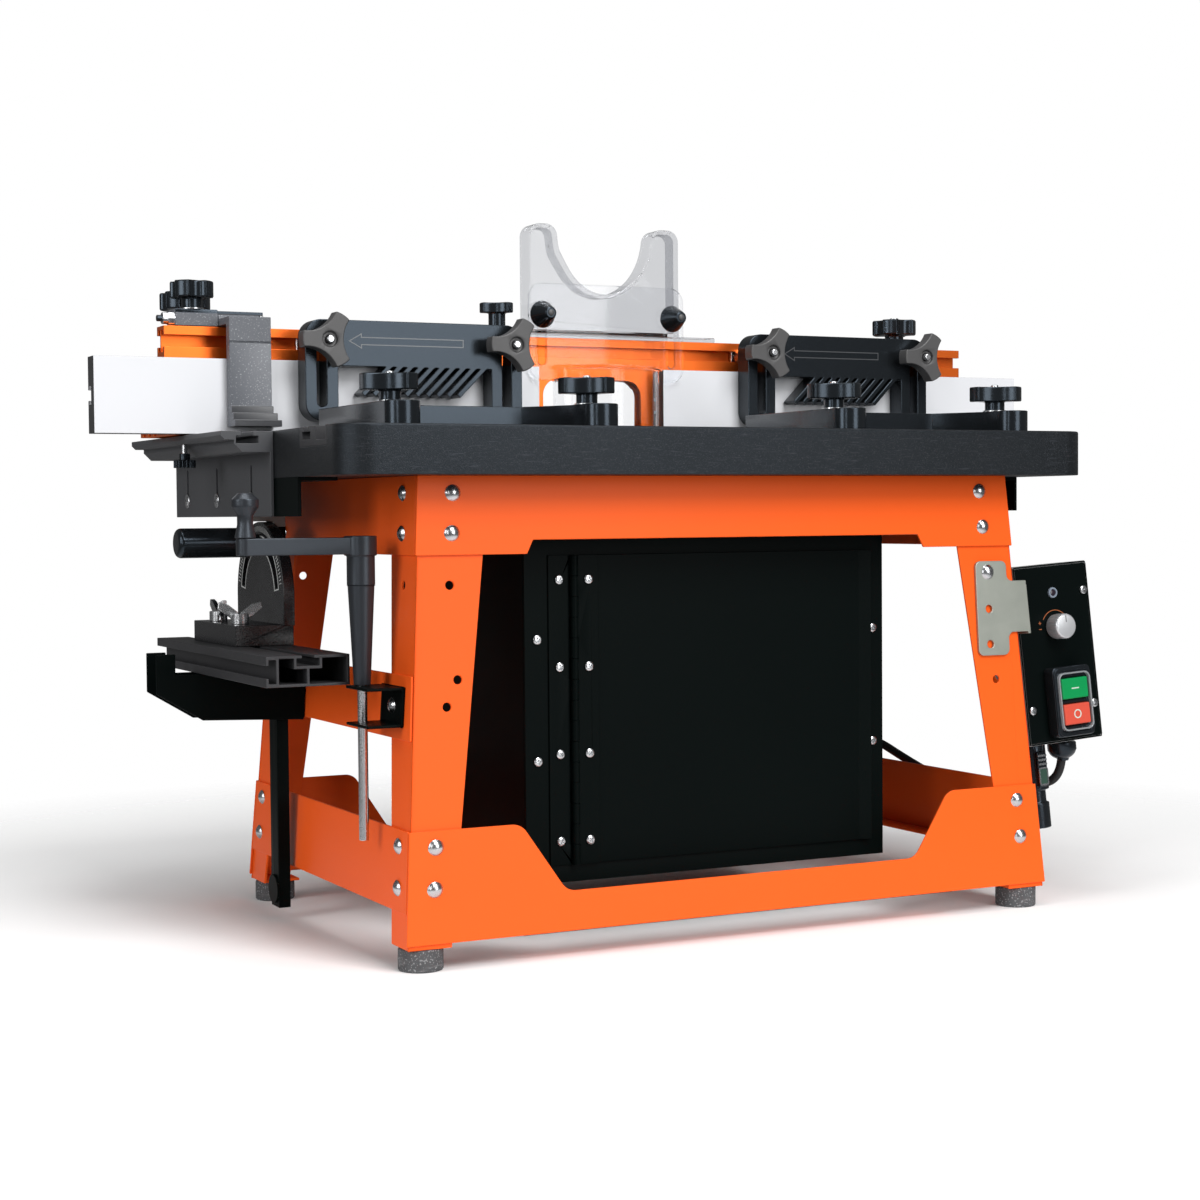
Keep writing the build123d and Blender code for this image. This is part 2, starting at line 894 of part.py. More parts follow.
knuckle_pitch = leaf_span / knuckle_count


def knuckles(first, bore):
    """Every other barrel of the piano hinge."""
    for i in range(first, knuckle_count, 2):
        bottom = door_bottom + i * knuckle_pitch + knuckle_gap / 2
        disc(facing_up(hinge_x, hinge_y, bottom), knuckle_radius, knuckle_pitch - knuckle_gap)
    disc(facing_up(hinge_x, hinge_y, door_bottom), bore, leaf_span, Mode.SUBTRACT)


def clear_other_knuckles(first):
    """Notches in a leaf beside the other leaf's barrels."""
    reach = knuckle_radius + part_gap
    for i in range(first, knuckle_count, 2):
        bottom = door_bottom + i * knuckle_pitch - knuckle_gap / 2
        top = bottom + knuckle_pitch + knuckle_gap
        left = hinge_x - reach
        right = hinge_x + reach
        block(left, right, hinge_y - reach, hinge_y + reach + 1, bottom, top, Mode.SUBTRACT)


with BuildPart() as hinge_frame_leaf:
    block(hinge_x - leaf_width, hinge_x, cabinet_front - leaf_thickness, cabinet_front, door_bottom, door_top)
    clear_other_knuckles(1)
    knuckles(0, hinge_pin_radius + running_gap)
    holes(facing_front(0, cabinet_front - leaf_thickness, 0), frame_seats, screw_radius + bolt_gap, sheet)
with BuildPart() as hinge_pin:
    disc(facing_up(hinge_x, hinge_y, door_bottom), hinge_pin_radius, leaf_span)
group("hinge_frame_leaf", [hinge_frame_leaf.part, hinge_pin.part])

leaf_front = door_front - leaf_thickness
with BuildPart() as hinge_door_leaf:
    block(hinge_x, hinge_x + leaf_width, leaf_front, door_front, door_bottom, door_top)
    clear_other_knuckles(0)
    knuckles(1, hinge_pin_radius + running_gap)
    holes(facing_front(0, leaf_front, 0), door_seats, screw_radius + bolt_gap, 2 * leaf_thickness)
save(hinge_door_leaf, "hinge_door_leaf")

door_screw_planes = [facing_front(door_screw_x, leaf_front, z) for z in leaf_screw_heights]
group("door_screws", [pan_screw.part.moved(seat.location) for seat in door_screw_planes])

# Router lift: a frame of two columns, a carriage, and the screw that raises it
lift_frame_bottom = lift_base_height
lift_back = bit_y + lift_plate_depth / 2 - 15
lift_front = lift_back - lift_plate_depth
motor_room = motor_radius + 5
lift_frame_solids = []
for bottom in (lift_frame_bottom, stand_top - lift_plate_thickness):
    with BuildPart() as lift_plate:
        plate_top = bottom + lift_plate_thickness
        block(-lift_plate_half_width, lift_plate_half_width, lift_front, lift_back, bottom, plate_top)
        disc(facing_up(0, bit_y, 0), motor_room, table_height, Mode.SUBTRACT)
        disc(facing_up(0, lift_screw_y, 0), lift_screw_radius + running_gap, table_height, Mode.SUBTRACT)
    lift_frame_solids.append(lift_plate.part)
column_foot = lift_frame_bottom + lift_plate_thickness + part_gap
column_length = stand_top - lift_plate_thickness - part_gap - column_foot
for x in (-column_x, column_x):
    with BuildPart() as column:
        disc(facing_up(x, bit_y, column_foot), column_radius, column_length)
    lift_frame_solids.append(column.part)
group("lift_frame", lift_frame_solids)

carriage_back = bit_y + motor_radius + 8
carriage_front = lift_screw_y - lift_screw_radius - 10
with BuildPart() as lift_carriage:
    block(
        -lift_plate_half_width,
        lift_plate_half_width,
        carriage_front,
        carriage_back,
        carriage_bottom,
        carriage_bottom + carriage_height,
    )
    fillet(lift_carriage.edges().filter_by(Axis.Z), 12)
    disc(facing_up(0, bit_y, carriage_bottom), motor_radius + bolt_gap, carriage_height, Mode.SUBTRACT)
    for x in (-column_x, column_x):
        column_bore = column_radius + running_gap
        disc(facing_up(x, bit_y, carriage_bottom), column_bore, carriage_height, Mode.SUBTRACT)
    nut_bore = lift_screw_radius + running_gap
    disc(facing_up(0, lift_screw_y, carriage_bottom), nut_bore, carriage_height, Mode.SUBTRACT)
save(lift_carriage, "lift_carriage")

with BuildPart() as lift_screw:
    screw_foot = lift_frame_bottom - 6
    disc(facing_up(0, lift_screw_y, screw_foot), lift_screw_radius, stand_top - screw_foot)
    collar_top = stand_top - lift_plate_thickness - part_gap
    disc(facing_up(0, lift_screw_y, collar_top - 4), lift_screw_radius + 2, 4)
    collar_low = lift_frame_bottom + lift_plate_thickness + part_gap
    disc(facing_up(0, lift_screw_y, collar_low), lift_screw_radius + 2, 4)
    with BuildSketch(facing_up(0, lift_screw_y, stand_top)):
        RegularPolygon(radius=lift_screw_socket / 2, side_count=6, major_radius=False)
    extrude(amount=-20, mode=Mode.SUBTRACT)
save(lift_screw, "lift_screw")

motor_top = motor_bottom + motor_height
rib = 3
with BuildPart() as motor_housing:
    disc(facing_up(0, bit_y, motor_bottom), motor_radius, motor_height)
    disc(
        facing_up(0, bit_y, motor_bottom + motor_wall),
        motor_radius - motor_wall,
        motor_height - 2 * motor_wall,
        Mode.SUBTRACT,
    )
    fillet(motor_housing.edges().group_by(Axis.Z)[0], rib)
    disc(facing_up(0, bit_y, motor_top - motor_wall), spindle_radius + running_gap, motor_wall, Mode.SUBTRACT)
    with BuildSketch(facing_up(0, bit_y, motor_bottom)):
        with PolarLocations((motor_radius - motor_wall) * 0.7, 8):
            Circle(rib)
    extrude(amount=motor_wall, mode=Mode.SUBTRACT)
save(motor_housing, "motor_housing")

with BuildPart() as motor_shaft:
    disc(facing_up(0, bit_y, rotor_bottom), spindle_radius, collet_top - collet_height - rotor_bottom)
    disc(facing_up(0, bit_y, rotor_bottom), rotor_radius, rotor_height)
    shaft_low = motor_bottom + motor_wall + part_gap
    disc(facing_up(0, bit_y, shaft_low), spindle_radius - 2, rotor_bottom - shaft_low)
    nose = collet_height * 0.75
    disc(facing_up(0, bit_y, collet_top - collet_height), collet_radius - 4, nose)
    disc(facing_up(0, bit_y, collet_top - collet_depth), collet_bore, collet_depth, Mode.SUBTRACT)
with BuildPart() as collet_nut:
    with BuildSketch(facing_up(0, bit_y, collet_top - collet_height + part_gap)):
        RegularPolygon(radius=collet_radius, side_count=6)
    extrude(amount=collet_height - part_gap)
    nut_well = collet_radius - 4 + running_gap
    disc(facing_up(0, bit_y, collet_top - collet_height), nut_well, nose + part_gap, Mode.SUBTRACT)
    disc(facing_up(0, bit_y, collet_top - collet_height), collet_bore, collet_height, Mode.SUBTRACT)
group("motor_spindle", [motor_shaft.part, collet_nut.part])

# Switch box, leaning with the front right leg
box_normal = (0, -1, splay_y)
box_across = (1 + splay_y**2, splay_x * splay_y, splay_x)
box_x = half_width(box_height_above_bench) + box_leg_gap + box_width / 2
box_place = Vector(*on_front(box_x, box_height_above_bench), -box_set_back)
box_face = Plane(origin=front_face.from_local_coords(box_place), x_dir=box_across, z_dir=box_normal)


def on_box(u, v, w=0):
    """Plane on the switch box face, moved across, up and outward."""
    origin = box_face.from_local_coords(Vector(u, v, w))
    return Plane(origin=origin, x_dir=box_face.x_dir, z_dir=box_face.z_dir)


with BuildPart() as control_box:
    with BuildSketch(box_face):
        Rectangle(box_width, box_height)
    extrude(amount=-box_depth)
    with BuildSketch(box_face):
        Rectangle(box_width - 2 * box_wall, box_height - 2 * box_wall)
    extrude(amount=box_wall - box_depth, mode=Mode.SUBTRACT)
    below = Plane(
        origin=box_face.from_local_coords(Vector(0, -box_height / 2, gland_w)),
        x_dir=box_face.x_dir,
        z_dir=-box_face.y_dir,
    )
    holes(below, [(gland_u, 0)], cord_radius + 2, 2 * box_wall)
    holes(below, [(inlet_u, inlet_w - gland_w)], inlet_radius - 4, 2 * box_wall)
save(control_box, "control_box")

screw_vs = (panel_screw_bottom, panel_screw_top)
screw_spots = [(u, v) for u in (-panel_screw_u, panel_screw_u) for v in screw_vs]
well_width = switch_width - 6
with BuildPart() as control_panel:
    with BuildSketch(box_face):
        Rectangle(box_width - 2 * box_wall - part_gap, box_height - 2 * box_wall - part_gap)
        with Locations(*screw_spots):
            Circle(screw_radius + bolt_gap, mode=Mode.SUBTRACT)
        with Locations((0, knob_v)):
            Circle(speed_shaft_radius + part_gap, mode=Mode.SUBTRACT)
        with Locations((switch_u, switch_v)):
            Rectangle(well_width, switch_height - 6, mode=Mode.SUBTRACT)
    extrude(amount=-panel_thickness)
    disc(on_box(0, lamp_v), lamp_radius, 1.5)
    disc(on_box(0, lamp_v), lamp_radius - 1.5, 1.5, Mode.SUBTRACT)
save(control_panel, "control_panel")

with BuildPart() as speed_knob:
    disc(on_box(0, knob_v, part_gap), speed_knob_radius, speed_knob_length)
    chamfer(speed_knob.faces().filter_by(GeomType.PLANE).sort_by(Axis.Y)[0].edges(), 1)
    disc(on_box(0, knob_v, -10), speed_shaft_radius, 10 + part_gap)
save(speed_knob, "speed_knob")

button_vs = (switch_v + button_pitch / 2, switch_v - button_pitch / 2)
pocket = button_depth + button_travel + 1
with BuildPart() as switch_body:
    with BuildSketch(box_face):
        with Locations((switch_u, switch_v)):
            RectangleRounded(switch_width, switch_height, 4)
    extrude(amount=switch_depth)
    with BuildSketch(box_face):
        with Locations((switch_u, switch_v)):
            Rectangle(well_width - part_gap, switch_height - 6 - part_gap)
    extrude(amount=-18)
    with BuildSketch(box_face.offset(switch_depth)):
        with Locations(*[(switch_u, v) for v in button_vs]):
            Rectangle(button_width + 2 * part_gap, button_height + 2 * part_gap)
    extrude(amount=-pocket, mode=Mode.SUBTRACT)
save(switch_body, "switch_body")


def push_button(v):
    """Rectangular button standing out of its pocket in the switch."""
    base = switch_depth + button_proud - button_depth
    with BuildPart() as button:
        with BuildSketch(on_box(switch_u, v, base)):
            Rectangle(button_width, button_height)
        extrude(amount=button_depth)
    return button


start_button = push_button(button_vs[0])
save(start_button, "start_button")
stop_button = push_button(button_vs[1])
save(stop_button, "stop_button")

# Galvanised bracket between the leg and the switch box
spare_z = spare_hole_heights[0]
bracket_low = spare_z - 66
bracket_high = spare_z + 9
tab_low = spare_z - 48
tab_high = spare_z - 7
bracket_hole_heights = (spare_z, spare_z - 29, spare_z - 57)
with BuildPart() as box_bracket:
    leg_plane = front_face.offset(-sheet)
    spare_x = half_width(spare_z) - upper_bolt_inset
    inner_x = spare_x - bracket_inner
    outer_x = spare_x + bracket_outer
    tab_x = box_x - box_width / 2 - splay_x * (tab_low - box_height_above_bench)
    with BuildSketch(leg_plane) as bracket_outline:
        with BuildLine():
            Polyline(
                on_front(inner_x, bracket_low),
                on_front(outer_x, bracket_low),
                on_front(outer_x, tab_low),
                on_front(tab_x - 1, tab_low),
                on_front(tab_x - 3, tab_high),
                on_front(outer_x, tab_high),
                on_front(outer_x, bracket_high),
                on_front(inner_x, bracket_high),
                close=True,
            )
        make_face()
        fillet(bracket_outline.vertices().sort_by(Axis.X)[:-2], bracket_round)
    extrude(amount=bracket_thickness)
    fold_w = box_set_back - sheet + bracket_thickness
    fold_v = (tab_low + tab_high) / 2 - box_height_above_bench
    fold = on_box(-box_width / 2 - bracket_thickness / 2, fold_v, fold_w)
    with BuildSketch(fold):
        Rectangle(bracket_thickness, tab_high - tab_low - 2)
    extrude(amount=-fold_w - box_depth * 0.7)
    bracket_holes = [(spare_x, z) for z in bracket_hole_heights]
    holes(leg_plane.offset(bracket_thickness), [on_front(x, z) for x, z in bracket_holes], hole_radius, 6)
save(box_bracket, "box_bracket")

with BuildPart() as cable_gland:
    gland_place = below.from_local_coords(Vector(gland_u, 0, 0))
    gland_seat = Plane(origin=gland_place, x_dir=below.x_dir, z_dir=below.z_dir)
    with BuildSketch(gland_seat):
        RegularPolygon(radius=gland_radius + 1, side_count=6)
    extrude(amount=gland_length * 0.35)
    with BuildSketch(gland_seat.offset(gland_length * 0.35)):
        Circle(gland_radius)
    extrude(amount=gland_length * 0.65, taper=12)
    disc(gland_seat.offset(-6), cord_radius + 1.8, 6)
    disc(gland_seat.offset(2), cord_radius + part_gap, gland_length, Mode.SUBTRACT)
save(cable_gland, "cable_gland")

with BuildPart() as inlet_coupling:
    inlet_centre = below.from_local_coords(Vector(inlet_u, inlet_w - gland_w, 0))
    inlet_seat = Plane(origin=inlet_centre, x_dir=below.x_dir, z_dir=below.z_dir)
    disc(inlet_seat, inlet_radius, inlet_length * 0.55)
    disc(inlet_seat.offset(inlet_length * 0.55), inlet_radius - 3, inlet_length * 0.15)
    disc(inlet_seat.offset(inlet_length * 0.7), inlet_radius - 1, inlet_length * 0.3)
    disc(inlet_seat.offset(-5), inlet_radius - 4.5, 5)
    latch_seat = inlet_seat.offset(inlet_length * 0.1)
    with BuildSketch(latch_seat):
        with Locations((0, inlet_radius)):
            Rectangle(inlet_radius * 0.8, 4)
    extrude(amount=inlet_length * 0.4)
save(inlet_coupling, "inlet_coupling")

# Motor lead from the gland, round behind the leg and into the cabinet wall
lead_start = gland_seat.from_local_coords(Vector(0, 0, 2))
lead_drop = gland_seat.from_local_coords(Vector(0, 0, gland_length + 11))
lead_rail_x = half_width(bottom_rail_top) + 4 * cord_radius
lead_over_rail = bottom_rail_top + 4 * cord_radius
lead_end = cabinet_half_width - cup_length + cabinet_wall
lead_points = [
    lead_start,
    lead_drop,
    Vector(320, -98, 84),
    Vector(300, -76, 80),
    Vector(lead_rail_x, -30, 83),
    Vector(lead_rail_x - 1, 30, 98),
    Vector(lead_rail_x - 10, 62, lead_over_rail),
    Vector(lead_rail_x - 32, lead_y - 3, lead_over_rail + 6),
    Vector(210, lead_y, lead_z),
    Vector(lead_end, lead_y, lead_z),
]
lead_radii = []
for before, here, after in zip(lead_points, lead_points[1:], lead_points[2:]):
    turn = math.radians((here - before).get_angle(after - here))
    shorter = min((here - before).length, (after - here).length)
    lead_radii.append(0.45 * shorter / math.tan(turn / 2))
print("lead radii", [round(radius, 1) for radius in lead_radii])
with BuildPart() as motor_lead:
    with BuildLine() as lead_route:
        FilletPolyline(*lead_points, radius=lead_radii)
    with BuildSketch(Plane(origin=lead_start, z_dir=lead_drop - lead_start)):
        Circle(cord_radius)
    sweep(path=lead_route.wires()[0])
lead_length = lead_route.wires()[0].length
print("lead length", round(lead_length, 1))
lead_section = math.pi * cord_radius**2
print("lead volume over section times length", motor_lead.part.volume / (lead_section * lead_length))
save(motor_lead, "motor_lead")

# Fence beam: an aluminium section with a hollow wall, a head slotted front and back, and a flange behind
beam_front = fence_face_y + fence_face_thickness
beam_bottom = table_height + part_gap
beam_top = beam_bottom + beam_height
beam_rear = beam_front + beam_depth
head_back = beam_front + beam_head
wall_back = beam_front + beam_web
flange_top = beam_bottom + beam_wall
head_low = beam_top - slot_block
beam_slot_z = beam_top - beam_slot_drop
groove_z = beam_bottom + groove_height - 5
with BuildPart() as fence_beam:
    with BuildSketch(Plane.YZ.offset(beam_x - beam_half_length)):
        span(beam_front, wall_back, beam_bottom, beam_top)
        span(beam_front, head_back, head_low, beam_top)
        span(beam_front, beam_rear, beam_bottom, flange_top)
        span(beam_rear - beam_wall, beam_rear, beam_bottom, beam_bottom + 2 * beam_wall)
        room_front = beam_front + beam_skin
        room_back = wall_back - beam_skin
        rib_low = beam_bottom + rib_height
        span(room_front, room_back, flange_top, rib_low, Mode.SUBTRACT)
        span(room_front, room_back, rib_low + beam_skin, head_low, Mode.SUBTRACT)
        with Locations(*[(beam_rear - (i + 0.75) * beam_groove_pitch, beam_bottom) for i in range(3)]):
            Rectangle(beam_groove, 2 * beam_groove_depth, mode=Mode.SUBTRACT)
        mouth = slot_mouth / 2
        cavity = slot_cavity / 2
        deep = slot_lip + slot_cavity_depth
        mouth_low = beam_slot_z - mouth
        mouth_high = beam_slot_z + mouth
        slot_low = beam_slot_z - cavity
        slot_high = beam_slot_z + cavity
        span(beam_front, beam_front + slot_lip, mouth_low, mouth_high, Mode.SUBTRACT)
        span(beam_front + slot_lip, beam_front + deep, slot_low, slot_high, Mode.SUBTRACT)
        span(head_back - slot_lip, head_back, mouth_low, mouth_high, Mode.SUBTRACT)
        span(head_back - deep, head_back - slot_lip, slot_low, slot_high, Mode.SUBTRACT)
    extrude(amount=2 * beam_half_length)
    with BuildSketch(facing_front(0, beam_rear + 1, beam_bottom)):
        with Locations((0, bit_opening_height / 2 - bit_opening_round)):
            tall = bit_opening_height + 2 * bit_opening_round
            RectangleRounded(2 * bit_opening_half, tall, bit_opening_round)
    extrude(amount=beam_depth + 2, mode=Mode.SUBTRACT)
    lock_x = half_table + rail_width / 2
    for x in (-lock_x, lock_x):
        stud_hole = lock_stud_radius + part_gap
        disc(facing_up(x, lock_y, beam_bottom - 1), stud_hole, beam_height + 2, Mode.SUBTRACT)
    bolt_xs = [sx * x for sx in (-1, 1) for x in face_bolt_xs]
    holes(facing_front(0, beam_front, groove_z), [(x, 0) for x in bolt_xs], hole_radius, beam_web + 1)
save(fence_beam, "fence_beam")


def fence_face(x_start):
    """Sliding face board with a tee groove along its back."""
    with BuildPart() as face:
        with BuildSketch(Plane.YZ.offset(x_start)):
            bottom = beam_bottom + part_gap
            span(fence_face_y, beam_front - part_gap, bottom, bottom + fence_face_height)
            lip_y = beam_front - groove_lip
            span(lip_y, beam_front, groove_z - groove_mouth / 2, groove_z + groove_mouth / 2, Mode.SUBTRACT)
            floor_y = beam_front - groove_depth
            span(floor_y, lip_y, groove_z - groove_cavity / 2, groove_z + groove_cavity / 2, Mode.SUBTRACT)
        extrude(amount=fence_face_length)
    return face


fence_face_left = fence_face(-fence_gap_half - fence_face_length)
save(fence_face_left, "fence_face_left")
fence_face_right = fence_face(fence_gap_half)
save(fence_face_right, "fence_face_right")

# Bolts that hold the faces on the beam, and the studs that clamp the beam to the side rails
face_head = groove_cavity - 1
face_head_thickness = groove_depth - groove_lip - 2 * part_gap
rail_top = table_height - rail_drop
stud_head = slot_cavity - 2
stud_top = beam_top + lock_knob_lift + lock_knob_height + 2
fence_bolt_solids = []
for x in bolt_xs:
    with BuildPart() as face_bolt:
        head_seat = facing_front(x, beam_front - groove_lip - part_gap, groove_z)
        with BuildSketch(head_seat):
            Rectangle(face_head, face_head)
        extrude(amount=face_head_thickness)
        bolt_reach = groove_lip + part_gap + beam_web + nut_height + 2
        disc(head_seat.offset(-bolt_reach), bolt_radius, bolt_reach + face_head_thickness / 2)
        with BuildSketch(facing_front(x, wall_back + nut_height, groove_z)):
            RegularPolygon(radius=nut_flats / 2, side_count=6, major_radius=False)
        extrude(amount=nut_height)
    fence_bolt_solids.append(face_bolt.part)
for x in (-lock_x, lock_x):
    with BuildPart() as lock_stud:
        head_z = rail_top - slot_lip - slot_cavity_depth + part_gap
        head_half = stud_head / 2
        head_top = head_z + slot_cavity_depth - 1
        block(x - head_half, x + head_half, lock_y - 8, lock_y + 8, head_z, head_top)
        disc(facing_up(x, lock_y, head_z), lock_stud_radius, stud_top - head_z)
    fence_bolt_solids.append(lock_stud.part)
group("fence_bolts", fence_bolt_solids)


def lock_knob(x):
    """Four-lobed knob on a long sleeve that clamps one end of the fence."""
    with BuildPart() as knob:
        sleeve_seat = facing_up(x, lock_y, flange_top + part_gap)
        sleeve_length = beam_top + lock_knob_lift - flange_top - part_gap
        disc(sleeve_seat, lock_sleeve_radius, sleeve_length)
        lobed_head(sleeve_seat.offset(sleeve_length), 4, lock_knob_radius, lock_knob_height)
        bore = sleeve_length + lock_knob_height
        disc(sleeve_seat, lock_stud_radius + running_gap, bore, Mode.SUBTRACT)
    return knob


fence_lock_left = lock_knob(-lock_x)
save(fence_lock_left, "fence_lock_left")
fence_lock_right = lock_knob(lock_x)
save(fence_lock_right, "fence_lock_right")

# Side rails with their hanging plates, brackets and screws
rail_inner = half_table + part_gap
rail_mid = half_table + rail_width / 2
with BuildPart() as left_rail:
    with BuildSketch(Plane.XZ.offset(-rail_rear)):
        rail_outer = -half_table - rail_width
        rail_step = rail_outer + rail_lip_width
        rail_low = rail_top - rail_height
        with BuildLine():
            Polyline(
                (-rail_inner, rail_top),
                (rail_outer, rail_top),
                (rail_outer, rail_top - rail_lip + rail_chamfer),
                (rail_outer + rail_chamfer, rail_top - rail_lip),
                (rail_step, rail_top - rail_lip),
                (rail_step, rail_low + rail_taper),
                (rail_step + rail_taper, rail_low),
                (-rail_inner, rail_low),
                close=True,
            )
        make_face()
        mouth = slot_mouth / 2
        cavity = slot_cavity / 2
        rail_floor = rail_top - slot_lip - slot_cavity_depth
        span(-rail_mid - mouth, -rail_mid + mouth, rail_top - slot_lip, rail_top, Mode.SUBTRACT)
        span(-rail_mid - cavity, -rail_mid + cavity, rail_floor, rail_top - slot_lip, Mode.SUBTRACT)
        plate_bottom = rail_top - rail_height - rail_plate_drop
        span(-rail_inner - rail_plate, -rail_inner, plate_bottom, rail_top - rail_height)
    extrude(amount=rail_rear - rail_front)
    plate_face = -rail_inner - rail_plate
    rail_screw_z = plate_bottom + rail_screw_rise
    rail_slot_z = rail_screw_z + rail_slot_length / 2 - screw_radius - part_gap
    with BuildSketch(facing_left(plate_face, 0, 0)):
        with Locations(*[(-y, rail_slot_z) for y in rail_screw_ys]):
            SlotOverall(rail_slot_length, 2 * (screw_radius + part_gap), rotation=90)
    extrude(amount=-rail_plate, mode=Mode.SUBTRACT)
with BuildPart() as left_bracket:
    inner_leg = -half_table
    bracket_front = rail_front - bracket_past_rail
    block(inner_leg, inner_leg + rail_plate, bracket_front, rail_rear, plate_bottom, stand_top)
    block(inner_leg, inner_leg + bracket_leg, bracket_front, rail_rear, stand_top - rail_plate, stand_top)
    screw_depth = [(-y, rail_screw_z) for y in rail_screw_ys]
    holes(facing_left(inner_leg, 0, 0), screw_depth, screw_radius + bolt_gap, rail_plate)
rail_solids = [left_rail.part, left_bracket.part]
rail_solids += [mirror(piece, about=Plane.YZ) for piece in rail_solids]
thumb_x = rail_outer + rail_lip_width / 2
thumb_seat = facing_up(thumb_x, thumb_y, rail_top - rail_lip)
with BuildPart() as thumb_screw:
    disc(thumb_seat, thumb_stud_radius, -thumb_stud)
    disc(thumb_seat.offset(-thumb_stud), thumb_collar_radius, -thumb_collar)
    with BuildSketch(thumb_seat.offset(-thumb_stud - thumb_collar)):
        Circle(thumb_radius)
        with PolarLocations(thumb_radius, 18):
            Circle(0.9, mode=Mode.SUBTRACT)
    extrude(amount=-thumb_height)
rail_solids.append(thumb_screw.part)
group("side_rails", rail_solids)

# Clear guard: a horned tray, open at the back, with a flange on the beam, and a sliding shield with a hood
shield_back = guard_shield_front + guard_plate
tray_depth = beam_front - shield_back - part_gap
tray_bottom = beam_top + guard_base


def horned_block(inset, depth):
    """Block with two horns from the beam's front plane forward, its outline drawn in by an inset."""
    half = guard_tray_half - inset
    notch = guard_notch_half + inset
    low = guard_notch_bottom - inset
    top = guard_tray_top - inset
    with BuildPart() as horned:
        with BuildSketch(facing_front(guard_x, beam_front, 0)):
            span(-half, half, beam_top + guard_tray_lift + inset, top)
            with BuildLine():
                Line((-notch, top), (notch, top))
                Spline(
                    (notch, top),
                    (notch * 0.88, low + 30),
                    (notch * 0.66, low + 14.5),
                    (0, low),
                    (-notch * 0.66, low + 14.5),
                    (-notch * 0.88, low + 30),
                    (-notch, top),
                    tangents=((-0.06, -1), (-0.06, 1)),
                )
            make_face(mode=Mode.SUBTRACT)
        extrude(amount=depth)
        fillet(horned.edges().filter_by(Axis.Y).group_by(Axis.Z)[-1], guard_horn_round - inset)
    return horned.part


with BuildPart() as guard_back:
    add(horned_block(0, tray_depth))
    add(horned_block(guard_tray_wall, tray_depth - guard_tray_wall), mode=Mode.SUBTRACT)
    flange_left = guard_x - guard_base_left
    flange_right = guard_x + guard_base_right
    block(flange_left, flange_right, beam_front, guard_base_rear, beam_top, tray_bottom)
    knob_spots = [(-guard_knob_x, guard_knob_z), (guard_knob_x, guard_knob_z)]
    tray_front = facing_front(guard_x, beam_front - tray_depth, 0)
    holes(tray_front, knob_spots, clamp_bolt_radius + bolt_gap, guard_tray_wall)
save(guard_back, "guard_back")

with BuildPart() as guard_shield:
    with BuildSketch(facing_front(guard_x, shield_back, 0)):
        with BuildSketch(mode=Mode.PRIVATE) as outline:
            span(-guard_shield_half, guard_shield_half, guard_arm_bottom, guard_shield_top)
            fillet(outline.vertices(), guard_arm_width / 2 - 1)
        add(outline.sketch)
        between = guard_shield_half - guard_arm_width
        span(-between, between, 0, hood_top, Mode.SUBTRACT)
        slot_top = guard_knob_z + guard_slot
        slot_bottom = guard_knob_z - guard_lift - guard_slot
        slot_middle = (slot_top + slot_bottom) / 2
        with Locations((-guard_knob_x, slot_middle), (guard_knob_x, slot_middle)):
            SlotOverall(slot_top - slot_bottom, guard_slot, rotation=90, mode=Mode.SUBTRACT)
    extrude(amount=guard_plate)
    hood_bottom = table_height + 4
    with BuildSketch(facing_up(guard_x, shield_back, hood_bottom)):
        with BuildLine():
            Line((-hood_half_width, 0), (hood_half_width, 0))
            ThreePointArc((hood_half_width, 0), (0, -hood_reach), (-hood_half_width, 0))
        make_face()
        with BuildLine():
            inner = hood_half_width - hood_wall
            Line((-inner, 1), (inner, 1))
            Line((inner, 1), (inner, 0))
            ThreePointArc((inner, 0), (0, hood_wall - hood_reach), (-inner, 0))
            Line((-inner, 0), (-inner, 1))
        make_face(mode=Mode.SUBTRACT)
    extrude(amount=hood_top - hood_bottom)
    with BuildSketch(facing_up(guard_x, shield_back, hood_top)):
        with BuildLine():
            lip_half = hood_half_width + hood_lip
            Line((-lip_half, 0), (lip_half, 0))
            ThreePointArc((lip_half, 0), (0, -hood_reach - hood_lip), (-lip_half, 0))
        make_face()
    extrude(amount=hood_wall)
save(guard_shield, "guard_shield")

guard_knob_solids = []
for side in (-1, 1):
    x = guard_x + side * guard_knob_x
    with BuildPart() as guard_knob:
        seat = facing_front(x, guard_shield_front - part_gap, guard_knob_z)
        with BuildSketch(seat):
            Circle(guard_knob_radius)
        extrude(amount=guard_knob_length, taper=22)
        bolt_length = guard_plate + guard_tray_wall + 2 * part_gap + nut_height
        disc(seat.offset(-bolt_length), clamp_bolt_radius, bolt_length)
        disc(seat.offset(-bolt_length), guard_nut_radius, nut_height)
    guard_knob_solids.append(guard_knob.part)
top_knob_y = (beam_front + head_back) / 2
with BuildPart() as top_knob:
    disc(facing_up(top_knob_x, top_knob_y, tray_bottom), clamp_collar_radius - 1, top_knob_lift - guard_base)
    top_knob_seat = facing_up(top_knob_x, top_knob_y, beam_top + top_knob_lift)
    lobed_head(top_knob_seat, 3, clamp_knob_radius * 0.66, clamp_knob_height * 0.7)
guard_knob_solids.append(top_knob.part)
group("guard_knobs", guard_knob_solids)

# Featherboards, each drawn around the middle of its two clamp bolts, arms toward minus Y
half_pitch = board_knob_pitch / 2
board_half = half_pitch + board_arm_width / 2


def comb(count, start_x, y, length, lean):
    """Row of slanting springy fingers."""
    for i in range(count):
        with Locations((start_x + i * board_finger_pitch, y)):
            Rectangle(board_finger, length, rotation=lean)


